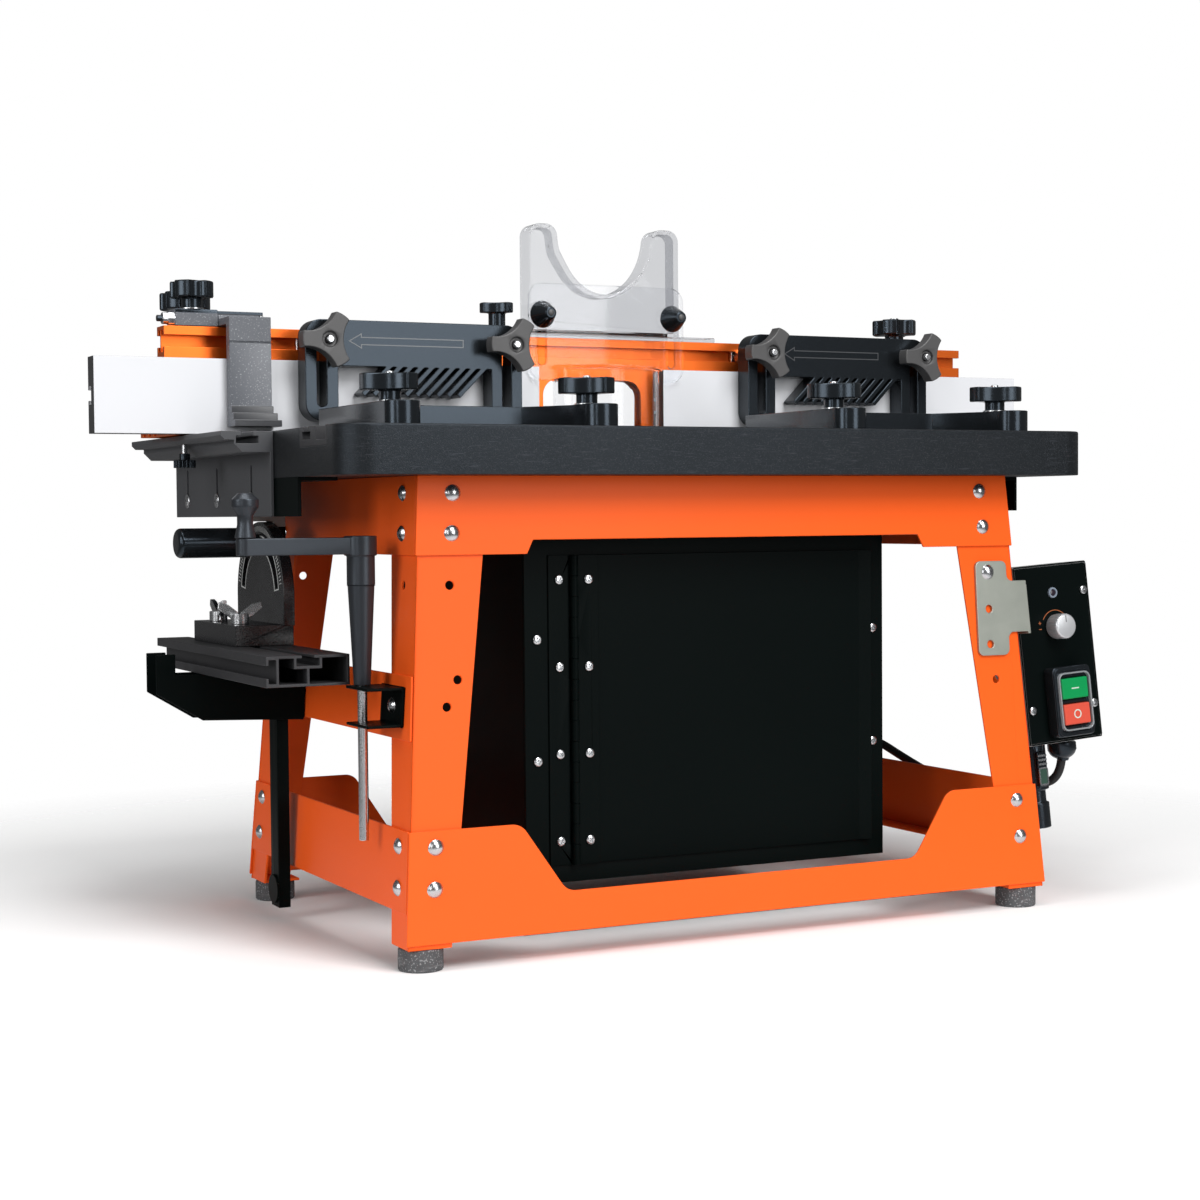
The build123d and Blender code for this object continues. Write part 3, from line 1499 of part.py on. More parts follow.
def board_arms(reach, back, slot_front, slot_length):
    """Two slotted arms with round ends."""
    for x in (-half_pitch, half_pitch):
        span(x - board_arm_width / 2, x + board_arm_width / 2, -reach + board_arm_width / 2, back)
        with Locations((x, board_arm_width / 2 - reach)):
            Circle(board_arm_width / 2)
    with Locations(*[(x, slot_front + slot_length / 2) for x in (-half_pitch, half_pitch)]):
        SlotOverall(slot_length, board_slot, rotation=90, mode=Mode.SUBTRACT)


def fence_board(x):
    """Featherboard held against the fence, arms and fingers downward."""
    with BuildPart() as board:
        with BuildSketch(facing_front(x, fence_face_y - part_gap, beam_slot_z)):
            span(-board_half, board_half, -fence_board_below, fence_board_above)
            first = half_pitch - board_arm_width / 2 - 4 - (fence_finger_count - 1) * board_finger_pitch
            comb(fence_finger_count, first - 13, -fence_board_below - 10, fence_finger_length, -45)
            arm_slot_low = -fence_board_slot - board_slot / 2
            board_arms(fence_board_arm, fence_board_above, arm_slot_low, fence_board_slot + board_slot)
        extrude(amount=board_thickness)
        fillet(board.edges().filter_by(Axis.Y).group_by(Axis.Z)[-1], board_arm_width / 2)
    return board


def table_board(x):
    """Featherboard lying on the table, arms to the front and fingers toward the fence."""
    with BuildPart() as board:
        with BuildSketch(facing_up(x, clamp_slot_y, table_height + part_gap)):
            span(-board_half, board_half, table_board_notch, table_board_back)
            shoulder = half_pitch - board_arm_width / 2
            with BuildLine():
                Polyline(
                    (-shoulder, 0),
                    (-shoulder + 24, table_board_notch + 1),
                    (shoulder - 24, table_board_notch + 1),
                    (shoulder, 0),
                    (shoulder, table_board_notch + 2),
                    (-shoulder, table_board_notch + 2),
                    close=True,
                )
            make_face()
            comb(table_finger_count, -board_half + 18, table_board_back + 8, table_finger_length, -30)
            board_arms(table_board_arm, table_board_notch + 1, -22, table_board_slot)
        extrude(amount=board_thickness)
    return board


for label, x in zip(("fence_board_left", "fence_board_right"), fence_board_xs):
    save(fence_board(x), label)
for label, x in zip(("table_board_left", "table_board_right"), table_board_xs):
    save(table_board(x), label)

# Their clamps: knobs, tee bolts and, at the fence, spacer sleeves over the step behind the board
board_front = fence_face_y - part_gap - board_thickness
fence_bolt = tee_bolt(beam_front + slot_lip + part_gap - board_front)
for label, x in zip(("fence_clamps_left", "fence_clamps_right"), fence_board_xs):
    solids = []
    for knob_x in (x - half_pitch, x + half_pitch):
        seat = facing_front(knob_x, board_front, beam_slot_z)
        with BuildPart() as sleeve:
            with BuildSketch(facing_front(knob_x, beam_front - part_gap, beam_slot_z)):
                Circle(clamp_collar_radius - 1)
                Circle(clamp_bolt_radius + bolt_gap, mode=Mode.SUBTRACT)
            extrude(amount=fence_face_thickness - part_gap)
        solids += [clamp_knob.part.moved(seat.location), fence_bolt.moved(seat.location), sleeve.part]
    group(label, solids)
table_board_top = table_height + part_gap + board_thickness
table_bolt = tee_bolt(table_board_top - table_height + slot_lip + part_gap)
for label, x in zip(("table_clamps_left", "table_clamps_right"), table_board_xs):
    solids = []
    for knob_x in (x - half_pitch, x + half_pitch):
        seat = facing_up(knob_x, clamp_slot_y, table_board_top)
        solids += [clamp_knob.part.moved(seat.location), table_bolt.moved(seat.location)]
    group(label, solids)

# Flip stop: a base on the beam's head, hooked into its rear slot, a knob, and an arm that folds up on a bolt
stop_left = stop_x - stop_bar_left
stop_right = stop_x + stop_bar_right
base_bottom = beam_top + part_gap
bar_top = base_bottom + stop_base_height
stop_plate_top = bar_top + stop_plate
with BuildPart() as flip_stop_base:
    block(stop_left, stop_right, beam_front, head_back, base_bottom, bar_top)
    block(stop_left, stop_right, beam_front + 1, head_back, bar_top, stop_plate_top)
    strip_front = stop_pivot_y + stop_boss_radius + part_gap
    strip_right = stop_right + stop_arm_width + 5.5
    block(stop_right, strip_right, strip_front, head_back, base_bottom, stop_plate_top)
    hook_right = stop_left + stop_hook_length
    hook_back = head_back + stop_hook
    key = slot_mouth / 2 - part_gap
    block(stop_left, hook_right, head_back, hook_back, base_bottom, stop_plate_top)
    block(stop_left, hook_right, head_back + part_gap, hook_back, beam_slot_z - key, base_bottom)
    key_front = head_back - slot_lip + part_gap
    block(stop_left, hook_right, key_front, head_back + part_gap, beam_slot_z - key, beam_slot_z + key)
    bolt_end = facing_left(stop_right + stop_arm_width + 3, stop_pivot_y, stop_pivot_z)
    disc(bolt_end, stop_pivot_radius, stop_arm_width + 3)
    disc(bolt_end, stop_boss_radius, 3 - part_gap)
    nut_seat = facing_left(stop_left, stop_pivot_y, stop_pivot_z)
    with BuildSketch(nut_seat):
        RegularPolygon(radius=stop_nut_radius, side_count=6)
    extrude(amount=stop_nut_height)
    disc(nut_seat.offset(stop_nut_height), stop_nut_radius - 1, stop_nut_height - 0.5)
    disc(nut_seat.offset(2 * stop_nut_height - 0.5), stop_nut_radius - 3, 4)
    stud_reach = stop_plate_top - base_bottom + stop_knob_hub + stop_knob_height - 3
    disc(facing_up(stop_x, stop_knob_y, base_bottom), stop_pivot_radius, stud_reach)
save(flip_stop_base, "flip_stop_base")

with BuildPart() as flip_stop_arm:
    arm_left = stop_right + part_gap
    arm_right = stop_right + stop_arm_width - part_gap
    arm_seat = facing_left(arm_right, stop_pivot_y, stop_pivot_z)
    disc(arm_seat, stop_boss_radius, arm_right - arm_left)
    arm_top = stop_pivot_z + 0.6
    arm_back = stop_arm_front + stop_arm_thickness
    block(arm_left, arm_right, stop_arm_front, stop_pivot_y, stop_pivot_z - stop_boss_radius, arm_top)
    block(arm_left, arm_right, stop_arm_front, arm_back, stop_foot_bottom + 10, arm_top)
    for step in range(3):
        out = 4 * (step + 1)
        top = stop_foot_bottom + 16 - 5.5 * step
        block(arm_left, arm_right + 2 * step, stop_arm_front - out, arm_back, stop_foot_bottom, top)
    disc(arm_seat, stop_pivot_radius + running_gap, arm_right - arm_left, Mode.SUBTRACT)
    line_back = stop_arm_front + 0.6
    line_low = stop_line_z - 0.5
    block(arm_left, arm_right, stop_arm_front - 1, line_back, line_low, line_low + 1, Mode.SUBTRACT)
save(flip_stop_arm, "flip_stop_arm")

with BuildPart() as flip_stop_knob:
    knob_seat = facing_up(stop_x, stop_knob_y, stop_plate_top + part_gap)
    disc(knob_seat, stop_boss_radius + 3, stop_knob_hub)
    lobed_head(knob_seat.offset(stop_knob_hub), 4, stop_knob_radius, stop_knob_height)
    blind = stop_knob_hub + stop_knob_height - 1.5
    disc(knob_seat, stop_pivot_radius + running_gap, blind, Mode.SUBTRACT)
save(flip_stop_knob, "flip_stop_knob")

# Mitre gauge hanging on its holder: fence across, bar down, head upright, handle outward
gauge_fence_top = gauge_fence_z + gauge_fence_thickness
gauge_left = gauge_x - gauge_fence_width
with BuildPart() as mitre_fence:
    with BuildSketch(Plane.XZ.offset(-gauge_fence_rear)):
        span(gauge_left, gauge_x, gauge_fence_z, gauge_fence_top)
        mid_x = (gauge_left + gauge_x) / 2
        side_z = (gauge_fence_z + gauge_fence_top) / 2
        mouth = slot_mouth / 2
        cavity = slot_cavity / 2
        skin = gauge_fence_skin
        tee_floor = gauge_fence_top - skin - slot_cavity_depth
        tee_back = gauge_left + skin + slot_cavity_depth
        web = skin / 2
        room_low = gauge_fence_z + skin
        room_high = gauge_fence_top - skin
        span(tee_back + skin, mid_x - web, room_low, tee_floor - skin, Mode.SUBTRACT)
        span(tee_back + skin, mid_x - cavity - skin, room_low, room_high, Mode.SUBTRACT)
        span(mid_x + web, gauge_x - skin, room_low, tee_floor - skin, Mode.SUBTRACT)
        span(mid_x + cavity + skin, gauge_x - skin, room_low, room_high, Mode.SUBTRACT)
        span(mid_x - mouth, mid_x + mouth, gauge_fence_top - skin, gauge_fence_top, Mode.SUBTRACT)
        span(mid_x - cavity, mid_x + cavity, tee_floor, gauge_fence_top - skin, Mode.SUBTRACT)
        span(gauge_left, gauge_left + skin, side_z - mouth, side_z + mouth, Mode.SUBTRACT)
        span(gauge_left + skin, tee_back, side_z - cavity, side_z + cavity, Mode.SUBTRACT)
    extrude(amount=gauge_fence_rear - gauge_fence_front)
save(mitre_fence, "mitre_fence")

bar_left = gauge_x + part_gap
head_base_top = gauge_fence_top + gauge_base_height
gauge_handle_z = gauge_fence_top + gauge_head_height + gauge_arch_radius
with BuildPart() as mitre_bar:
    bar_half = mitre_bar_width / 2
    bar_right = bar_left + mitre_bar_thickness
    block(bar_left, bar_right, gauge_y - bar_half, gauge_y + bar_half, gauge_bar_bottom, gauge_bar_top)
    disc(facing_left(bar_left, gauge_y, gauge_bar_bottom + 14), bar_half + 2, 2)
    disc(facing_left(bar_left, gauge_y, gauge_handle_z), gauge_handle_stud, gauge_head_thickness + 20)
save(mitre_bar, "mitre_bar")

head_left = gauge_x - gauge_head_thickness
with BuildPart() as mitre_head:
    block(
        gauge_x - gauge_base_depth,
        gauge_x,
        gauge_y - gauge_base_half,
        gauge_y + gauge_base_half,
        gauge_fence_top,
        head_base_top,
    )
    arch_z = gauge_fence_top + gauge_head_height
    with BuildSketch(facing_left(gauge_x, gauge_y, arch_z)):
        Circle(gauge_head_radius)
        span(-gauge_head_radius, gauge_head_radius, -gauge_head_radius, 0, Mode.SUBTRACT)
        span(-gauge_head_radius, gauge_head_radius, head_base_top - arch_z - 1, 0)
        with BuildLine():
            outer = CenterArc((0, 0), gauge_arch_radius + gauge_arch_slot / 2, 10, 160)
            inner = CenterArc((0, 0), gauge_arch_radius - gauge_arch_slot / 2, 10, 160)
            Line(outer @ 0, inner @ 0)
            Line(outer @ 1, inner @ 1)
        make_face(mode=Mode.SUBTRACT)
    extrude(amount=gauge_head_thickness)
head_solids = [mitre_head.part]
for side in (-1, 1):
    y = gauge_y + side * wing_nut_offset
    wing_x = gauge_x - gauge_base_depth + 12
    with BuildPart() as wing_nut:
        disc(facing_up(wing_x, y, head_base_top), 7, 8)
        wing = [(-5, 3), (-17, 12), (-16, 17), (-9, 15), (0, 8), (9, 15), (16, 17), (17, 12), (5, 3)]
        slab(facing_left(wing_x - 2, y, head_base_top), wing, -4)
    head_solids.append(wing_nut.part)
with BuildPart() as pointer:
    pointer_top = gauge_bar_top + pointer_height
    pointer_left = gauge_x - gauge_head_thickness - pointer_overhang
    pointer_low = arch_z + gauge_head_radius + part_gap
    block(pointer_left, gauge_x, gauge_y - bar_half, gauge_y + bar_half, pointer_low, pointer_top)
    bar_right = bar_left + mitre_bar_thickness
    block(gauge_x, bar_right, gauge_y - bar_half, gauge_y + bar_half, gauge_bar_top, pointer_top)
head_solids.append(pointer.part)
group("mitre_head", head_solids)

with BuildPart() as mitre_handle:
    handle_seat = facing_left(head_left - part_gap, gauge_y, gauge_handle_z)
    disc(handle_seat, gauge_handle_radius * 0.6, 8)
    disc(handle_seat.offset(8), gauge_handle_radius, gauge_handle_length)
    fillet(mitre_handle.edges().group_by(Axis.X)[0], 4)
    disc(handle_seat, gauge_handle_stud + running_gap, 22, Mode.SUBTRACT)
save(mitre_handle, "mitre_handle")

# Holder for the gauge and clip for the crank, both screwed to the accessory rail
holder_top = gauge_fence_z - part_gap
with BuildPart() as mitre_holder:
    plate_planes = (gauge_y - holder_gap / 2, gauge_y + holder_gap / 2 + holder_plate)
    for y in plate_planes:
        slab(
            facing_front(0, y, 0),
            [
                (-half_width(holder_bottom) - 1, holder_bottom),
                (-half_width(holder_top) - 1, holder_top),
                (holder_prong - holder_reach, holder_top),
                (holder_prong - holder_reach, holder_top + holder_prong_height),
                (-holder_reach, holder_top + holder_prong_height),
                (-holder_reach, holder_top - 14),
                (-holder_reach + 36, holder_bottom + 3),
            ],
            holder_plate,
        )
    web_low = on_left(0, holder_bottom)[1]
    web_high = on_left(0, holder_top)[1]
    with BuildSketch(left_face):
        span(-gauge_y - holder_gap / 2, -gauge_y + holder_gap / 2, web_low, web_high)
    extrude(amount=holder_plate)
    holes(left_face.offset(holder_plate), [holder_screw], screw_radius + bolt_gap, 2 * holder_plate)
clip_bottom = crank_seat - clip_height
with BuildPart() as crank_clip:
    with BuildSketch(left_face):
        span(clip_rear, clip_front, on_left(0, clip_bottom)[1], on_left(0, crank_seat)[1])
    extrude(amount=sheet)
    clip_reach = crank_x - 2.5 * crank_rod_radius
    for z in (clip_bottom, crank_seat - sheet):
        wall_x = -half_width(z) - 1
        block(clip_reach, wall_x, -clip_front, -clip_rear, z, z + sheet)
    disc(facing_up(crank_x, crank_y, clip_bottom), crank_rod_radius + part_gap, clip_height, Mode.SUBTRACT)
    for z, inset in accessory_row:
        holes(left_face.offset(sheet), [on_left(inset - half_depth(z), z)], hole_radius, 2 * sheet)
group("accessory_brackets", [mitre_holder.part, crank_clip.part])

# Height crank standing in its clip
with BuildPart() as crank:
    disc(facing_up(crank_x, crank_y, crank_rod_bottom), crank_rod_radius, crank_seat - crank_rod_bottom + 2)
    shaft_low = crank_seat + part_gap
    with Locations((crank_x, crank_y, (shaft_low + crank_shaft_top) / 2)):
        Cone(crank_rod_radius + 2.5, crank_hub_radius - 2, crank_shaft_top - shaft_low)
    neck = crank_hub_bottom - crank_shaft_top
    disc(facing_up(crank_x, crank_y, crank_shaft_top), crank_hub_radius - 1.5, neck)
    disc(facing_up(crank_x, crank_y, crank_hub_bottom), crank_hub_radius, crank_hub_height)
    arm_end = crank_x - crank_arm_length
    arm_z = crank_hub_bottom + 1
    arm_half = crank_arm_width / 2
    block(arm_end, crank_x, crank_y - arm_half, crank_y + arm_half, arm_z, arm_z + crank_arm_height)
    disc(facing_up(arm_end, crank_y, arm_z), arm_half, crank_arm_height)
    disc(facing_up(arm_end, crank_y, arm_z), crank_pin_radius, crank_arm_height + crank_pin_length)
save(crank, "crank")

with BuildPart() as crank_knob:
    knob_z = arm_z + crank_arm_height + part_gap
    waist = crank_knob_radius * 0.58
    with BuildSketch(facing_front(arm_end, crank_y, knob_z)):
        with BuildLine():
            Polyline(
                (0, 0),
                (crank_knob_radius * 0.78, 0),
                (waist, crank_knob_height * 0.3),
                (waist, crank_knob_height * 0.5),
                (crank_knob_radius, crank_knob_height * 0.7),
                (crank_knob_radius, crank_knob_height * 0.86),
                (crank_knob_radius * 0.5, crank_knob_height),
                (0, crank_knob_height),
                close=True,
            )
        make_face()
    revolve(axis=Axis((arm_end, crank_y, 0), (0, 0, 1)))
    rim = crank_knob.edges().filter_by(GeomType.CIRCLE).sort_by(Axis.Z)[-3:]
    fillet(rim, crank_knob_radius * 0.2)
    disc(facing_up(arm_end, crank_y, knob_z), crank_pin_radius + running_gap, crank_pin_length, Mode.SUBTRACT)
save(crank_knob, "crank_knob")

# Small screws that stay put: cabinet, hinge frame leaf, rails, switch panel and accessory holder
flange_spots = [(sx * flange_screw_x, z) for sx in (-1, 1) for z in flange_screw_heights]
screw_seats = [facing_front(x, cabinet_front, z) for x, z in flange_spots]
screw_seats += [facing_front(frame_screw_x, cabinet_front - leaf_thickness, z) for z in leaf_screw_heights]
screw_seats += [on_box(u, v) for u, v in screw_spots]
screw_seats += [seat_left(gauge_y, (accessory_rail_bottom + accessory_rail_top) / 2, holder_plate)]
screw_solids = [pan_screw.part.moved(seat.location) for seat in screw_seats]
rail_screws = [pan_screw.part.moved(facing_left(plate_face, y, rail_screw_z).location) for y in rail_screw_ys]
screw_solids += rail_screws + [mirror(screw, about=Plane.YZ) for screw in rail_screws]
group("machine_screws", screw_solids)
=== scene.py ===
"""Looks of a benchtop router table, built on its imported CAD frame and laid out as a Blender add-on."""

import json
import math

import bmesh
import bpy
import numpy as np
from mathutils import Matrix, Vector


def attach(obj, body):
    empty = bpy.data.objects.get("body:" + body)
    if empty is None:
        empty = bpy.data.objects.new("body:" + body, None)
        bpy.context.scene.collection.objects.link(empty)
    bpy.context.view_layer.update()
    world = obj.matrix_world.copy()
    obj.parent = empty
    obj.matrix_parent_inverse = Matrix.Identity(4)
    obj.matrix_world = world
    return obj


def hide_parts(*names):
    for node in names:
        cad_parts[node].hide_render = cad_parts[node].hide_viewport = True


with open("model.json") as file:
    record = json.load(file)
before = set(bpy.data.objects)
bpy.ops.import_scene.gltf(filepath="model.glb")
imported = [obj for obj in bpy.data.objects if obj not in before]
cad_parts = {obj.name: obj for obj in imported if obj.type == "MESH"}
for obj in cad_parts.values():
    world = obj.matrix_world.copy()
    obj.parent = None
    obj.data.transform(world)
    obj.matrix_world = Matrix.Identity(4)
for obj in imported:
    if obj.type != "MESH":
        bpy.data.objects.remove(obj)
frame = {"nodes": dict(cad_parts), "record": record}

bl_info = {
    "name": "Benchtop Router Table",
    "version": (1, 0, 0),
    "blender": (4, 5, 0),
    "location": "3D View > Sidebar > Router Table",
    "description": "Dresses the router table's solids with finishes, fasteners and small detail",
    "category": "Object",
}

MM = 0.001
FULL_TURN = 6.283  # radians, the most that a loose fastener is spun
SMOOTH_ANGLE = 32.0  # degrees, edges sharper than this stay sharp in the shading
BEVEL_ANGLE = 38.0  # degrees, edges sharper than this are rounded
FLAT_ANGLE = 0.4  # degrees, triangles nearer than this to one plane become one face
MERGE_DISTANCE = 0.002  # millimetres, corners nearer than this become one
FACES = 0.6  # least cosine between a normal and the way a face is said to look
LEVEL, TINT = "Specular IOR Level", "Specular Tint"
BOLT_HEAD, SCREW_HEAD = 3.2, 2.0  # millimetres, heights of the heads over their seats
PRINT_LOW, PRINT_HIGH = -0.05, 0.12  # millimetres, a printed mark below and over its face
FRONT, RIGHT, UP = (0, -1, 0), (1, 0, 0), (0, 0, 1)
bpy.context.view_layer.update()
NODES = frame["nodes"]
RECORD = frame["record"]
BODY_OF = {node: body for body, nodes in RECORD["behaviour"]["bodies"].items() for node in nodes}
SLOT_OF = {row["node"]: row["material_slot"] for row in RECORD["subparts"]}


# ---- shader groups


def put(tree, kind, wires=None, **settings):
    """A node in a tree, with its settings, and its inputs wired or set by name or number."""
    made = tree.nodes.new(kind)
    for key, value in settings.items():
        setattr(made, key, value)
    for key, value in (wires or {}).items():
        if isinstance(value, bpy.types.NodeSocket):
            tree.links.new(value, made.inputs[key])
        else:
            made.inputs[key].default_value = value
    return made


def mapped(tree, value, low, high, to_low=0.0, to_high=1.0):
    """A value moved from one range to another."""
    ends = {"From Min": low, "From Max": high, "To Min": to_low, "To Max": to_high}
    return put(tree, "ShaderNodeMapRange", {"Value": value, **ends}).outputs[0]


def new_group(name, kind, inputs, outputs):
    """An empty node group with named sockets, and its two end nodes."""
    tree = bpy.data.node_groups.new(name, kind)
    for way, sockets in (("INPUT", inputs), ("OUTPUT", outputs)):
        for label, holds in sockets.items():
            tree.interface.new_socket(label, in_out=way, socket_type="NodeSocket" + holds)
    return tree, tree.nodes.new("NodeGroupInput"), tree.nodes.new("NodeGroupOutput")


def once(make):
    """A maker of a node group that is made only once, under the maker's name."""

    def known():
        return bpy.data.node_groups.get(make.__name__) or make(make.__name__)

    return known


def noise_of(tree, place, scale, detail):
    """Noise at a place."""
    return put(tree, "ShaderNodeTexNoise", {"Vector": place, "Scale": scale, "Detail": detail}).outputs["Fac"]


@once
def surface_grain(name):
    """Fine and broad noise of a surface: two masks and a height."""
    tree, start, end = new_group(
        name,
        "ShaderNodeTree",
        {"Position": "Vector", "Fine Scale": "Float", "Broad Scale": "Float"},
        {"Fine": "Float", "Broad": "Float", "Height": "Float"},
    )
    fine = noise_of(tree, start.outputs[0], start.outputs[1], 3.0)
    broad = noise_of(tree, start.outputs[0], start.outputs[2], 2.0)
    cells = put(tree, "ShaderNodeTexVoronoi", {"Vector": start.outputs[0], "Scale": start.outputs[1]})
    height = put(tree, "ShaderNodeMath", {0: fine, 1: cells.outputs["Distance"]}, operation="ADD")
    tree.links.new(fine, end.inputs["Fine"])
    tree.links.new(broad, end.inputs["Broad"])
    tree.links.new(height.outputs[0], end.inputs["Height"])
    return tree


@once
def light_flecks(name):
    """Small light flecks scattered over a surface."""
    sockets = {"Position": "Vector", "Scale": "Float", "Threshold": "Float"}
    tree, start, end = new_group(name, "ShaderNodeTree", sockets, {"Mask": "Float"})
    noise = noise_of(tree, start.outputs[0], start.outputs[1], 1.0)
    upper = put(tree, "ShaderNodeMath", {0: start.outputs[2], 1: 0.06}, operation="ADD")
    mask = mapped(tree, noise, start.outputs[2], upper.outputs[0])
    tree.links.new(mask, end.inputs["Mask"])
    return tree


@once
def rubbed_streaks(name):
    """Thin rubbed streaks, longer one way than the other."""
    sockets = {"Position": "Vector", "Scale": "Float", "Stretch": "Vector"}
    tree, start, end = new_group(name, "ShaderNodeTree", sockets, {"Mask": "Float"})
    turned = put(tree, "ShaderNodeVectorMath", {0: start.outputs[0], 1: start.outputs[2]}, operation="MULTIPLY")
    noise = noise_of(tree, turned.outputs[0], start.outputs[1], 4.0)
    tree.links.new(mapped(tree, noise, 0.60, 0.74), end.inputs["Mask"])
    return tree


# ---- finishes


def blend_colours(tree, factor, first, second):
    """Colour between two colours or sockets."""
    ends = [c if isinstance(c, bpy.types.NodeSocket) else (*c, 1.0) for c in (first, second)]
    made = put(tree, "ShaderNodeMix", {0: factor, 6: ends[0], 7: ends[1]}, data_type="RGBA")
    return made.outputs[2]


def surface(
    name, colour, shade, rough, plain=None, grain=900, broad=12, bump=0.08, depth=0.0002, fleck=None, scuff=None
):
    """A procedural finish: cloudy colour, grain in its gloss and height, and where asked flecks and rubbed streaks.
    rough is the least and most roughness, plain holds other shader inputs, grain and broad are noise scales."""
    if name in bpy.data.materials:
        return bpy.data.materials[name]
    material = bpy.data.materials.new(name)
    material.use_nodes = True
    tree = material.node_tree
    shader = tree.nodes["Principled BSDF"]
    place = tree.nodes.new("ShaderNodeTexCoord").outputs["Object"]
    scales = {"Position": place, "Fine Scale": grain, "Broad Scale": broad}
    noise = put(tree, "ShaderNodeGroup", scales, node_tree=surface_grain())
    tint = blend_colours(tree, noise.outputs["Broad"], shade, colour)
    for extra, group, setting in ((fleck, light_flecks, "Threshold"), (scuff, rubbed_streaks, "Stretch")):
        if extra:
            scale, value, light = extra
            wires = {"Position": place, "Scale": scale, setting: value}
            mask = put(tree, "ShaderNodeGroup", wires, node_tree=group())
            tint = blend_colours(tree, mask.outputs["Mask"], tint, light)
    tree.links.new(tint, shader.inputs["Base Color"])
    gloss = mapped(tree, noise.outputs["Fine"], 0.3, 0.7, *rough)
    tree.links.new(gloss, shader.inputs["Roughness"])
    if bump:
        relief = put(tree, "ShaderNodeBump", {"Height": noise.outputs["Height"], "Strength": bump, "Distance": depth})
        tree.links.new(relief.outputs[0], shader.inputs["Normal"])
    for label, value in (plain or {}).items():
        shader.inputs[label].default_value = value
    return material


# Finishes in the user's colours: a name, the colour's property, its shade, then as for a surface
COLOURED = {
    "orange_paint": ("orange powder coat", "paint", 0.93, (0.28, 0.38), {LEVEL: 0.11}, 2200, 6, 0.05),
    "orange_anodised": (
        "orange anodised aluminium", "anodised", 0.86, (0.30, 0.42), {"Metallic": 0.75, LEVEL: 0.4}, 2600, 9, 0.03,
    ),
    "black_steel": ("satin black steel", "steel", 0.7, (0.34, 0.44), {LEVEL: 0.035}, 2400, 5, 0.04),
    "black_plastic": (
        "black moulded plastic", "plastic", 0.75, (0.15, 0.23),
        {LEVEL: 0.46, TINT: (0.66, 0.82, 1.0, 1.0)}, 1700, 25, 0.10,
    ),
}
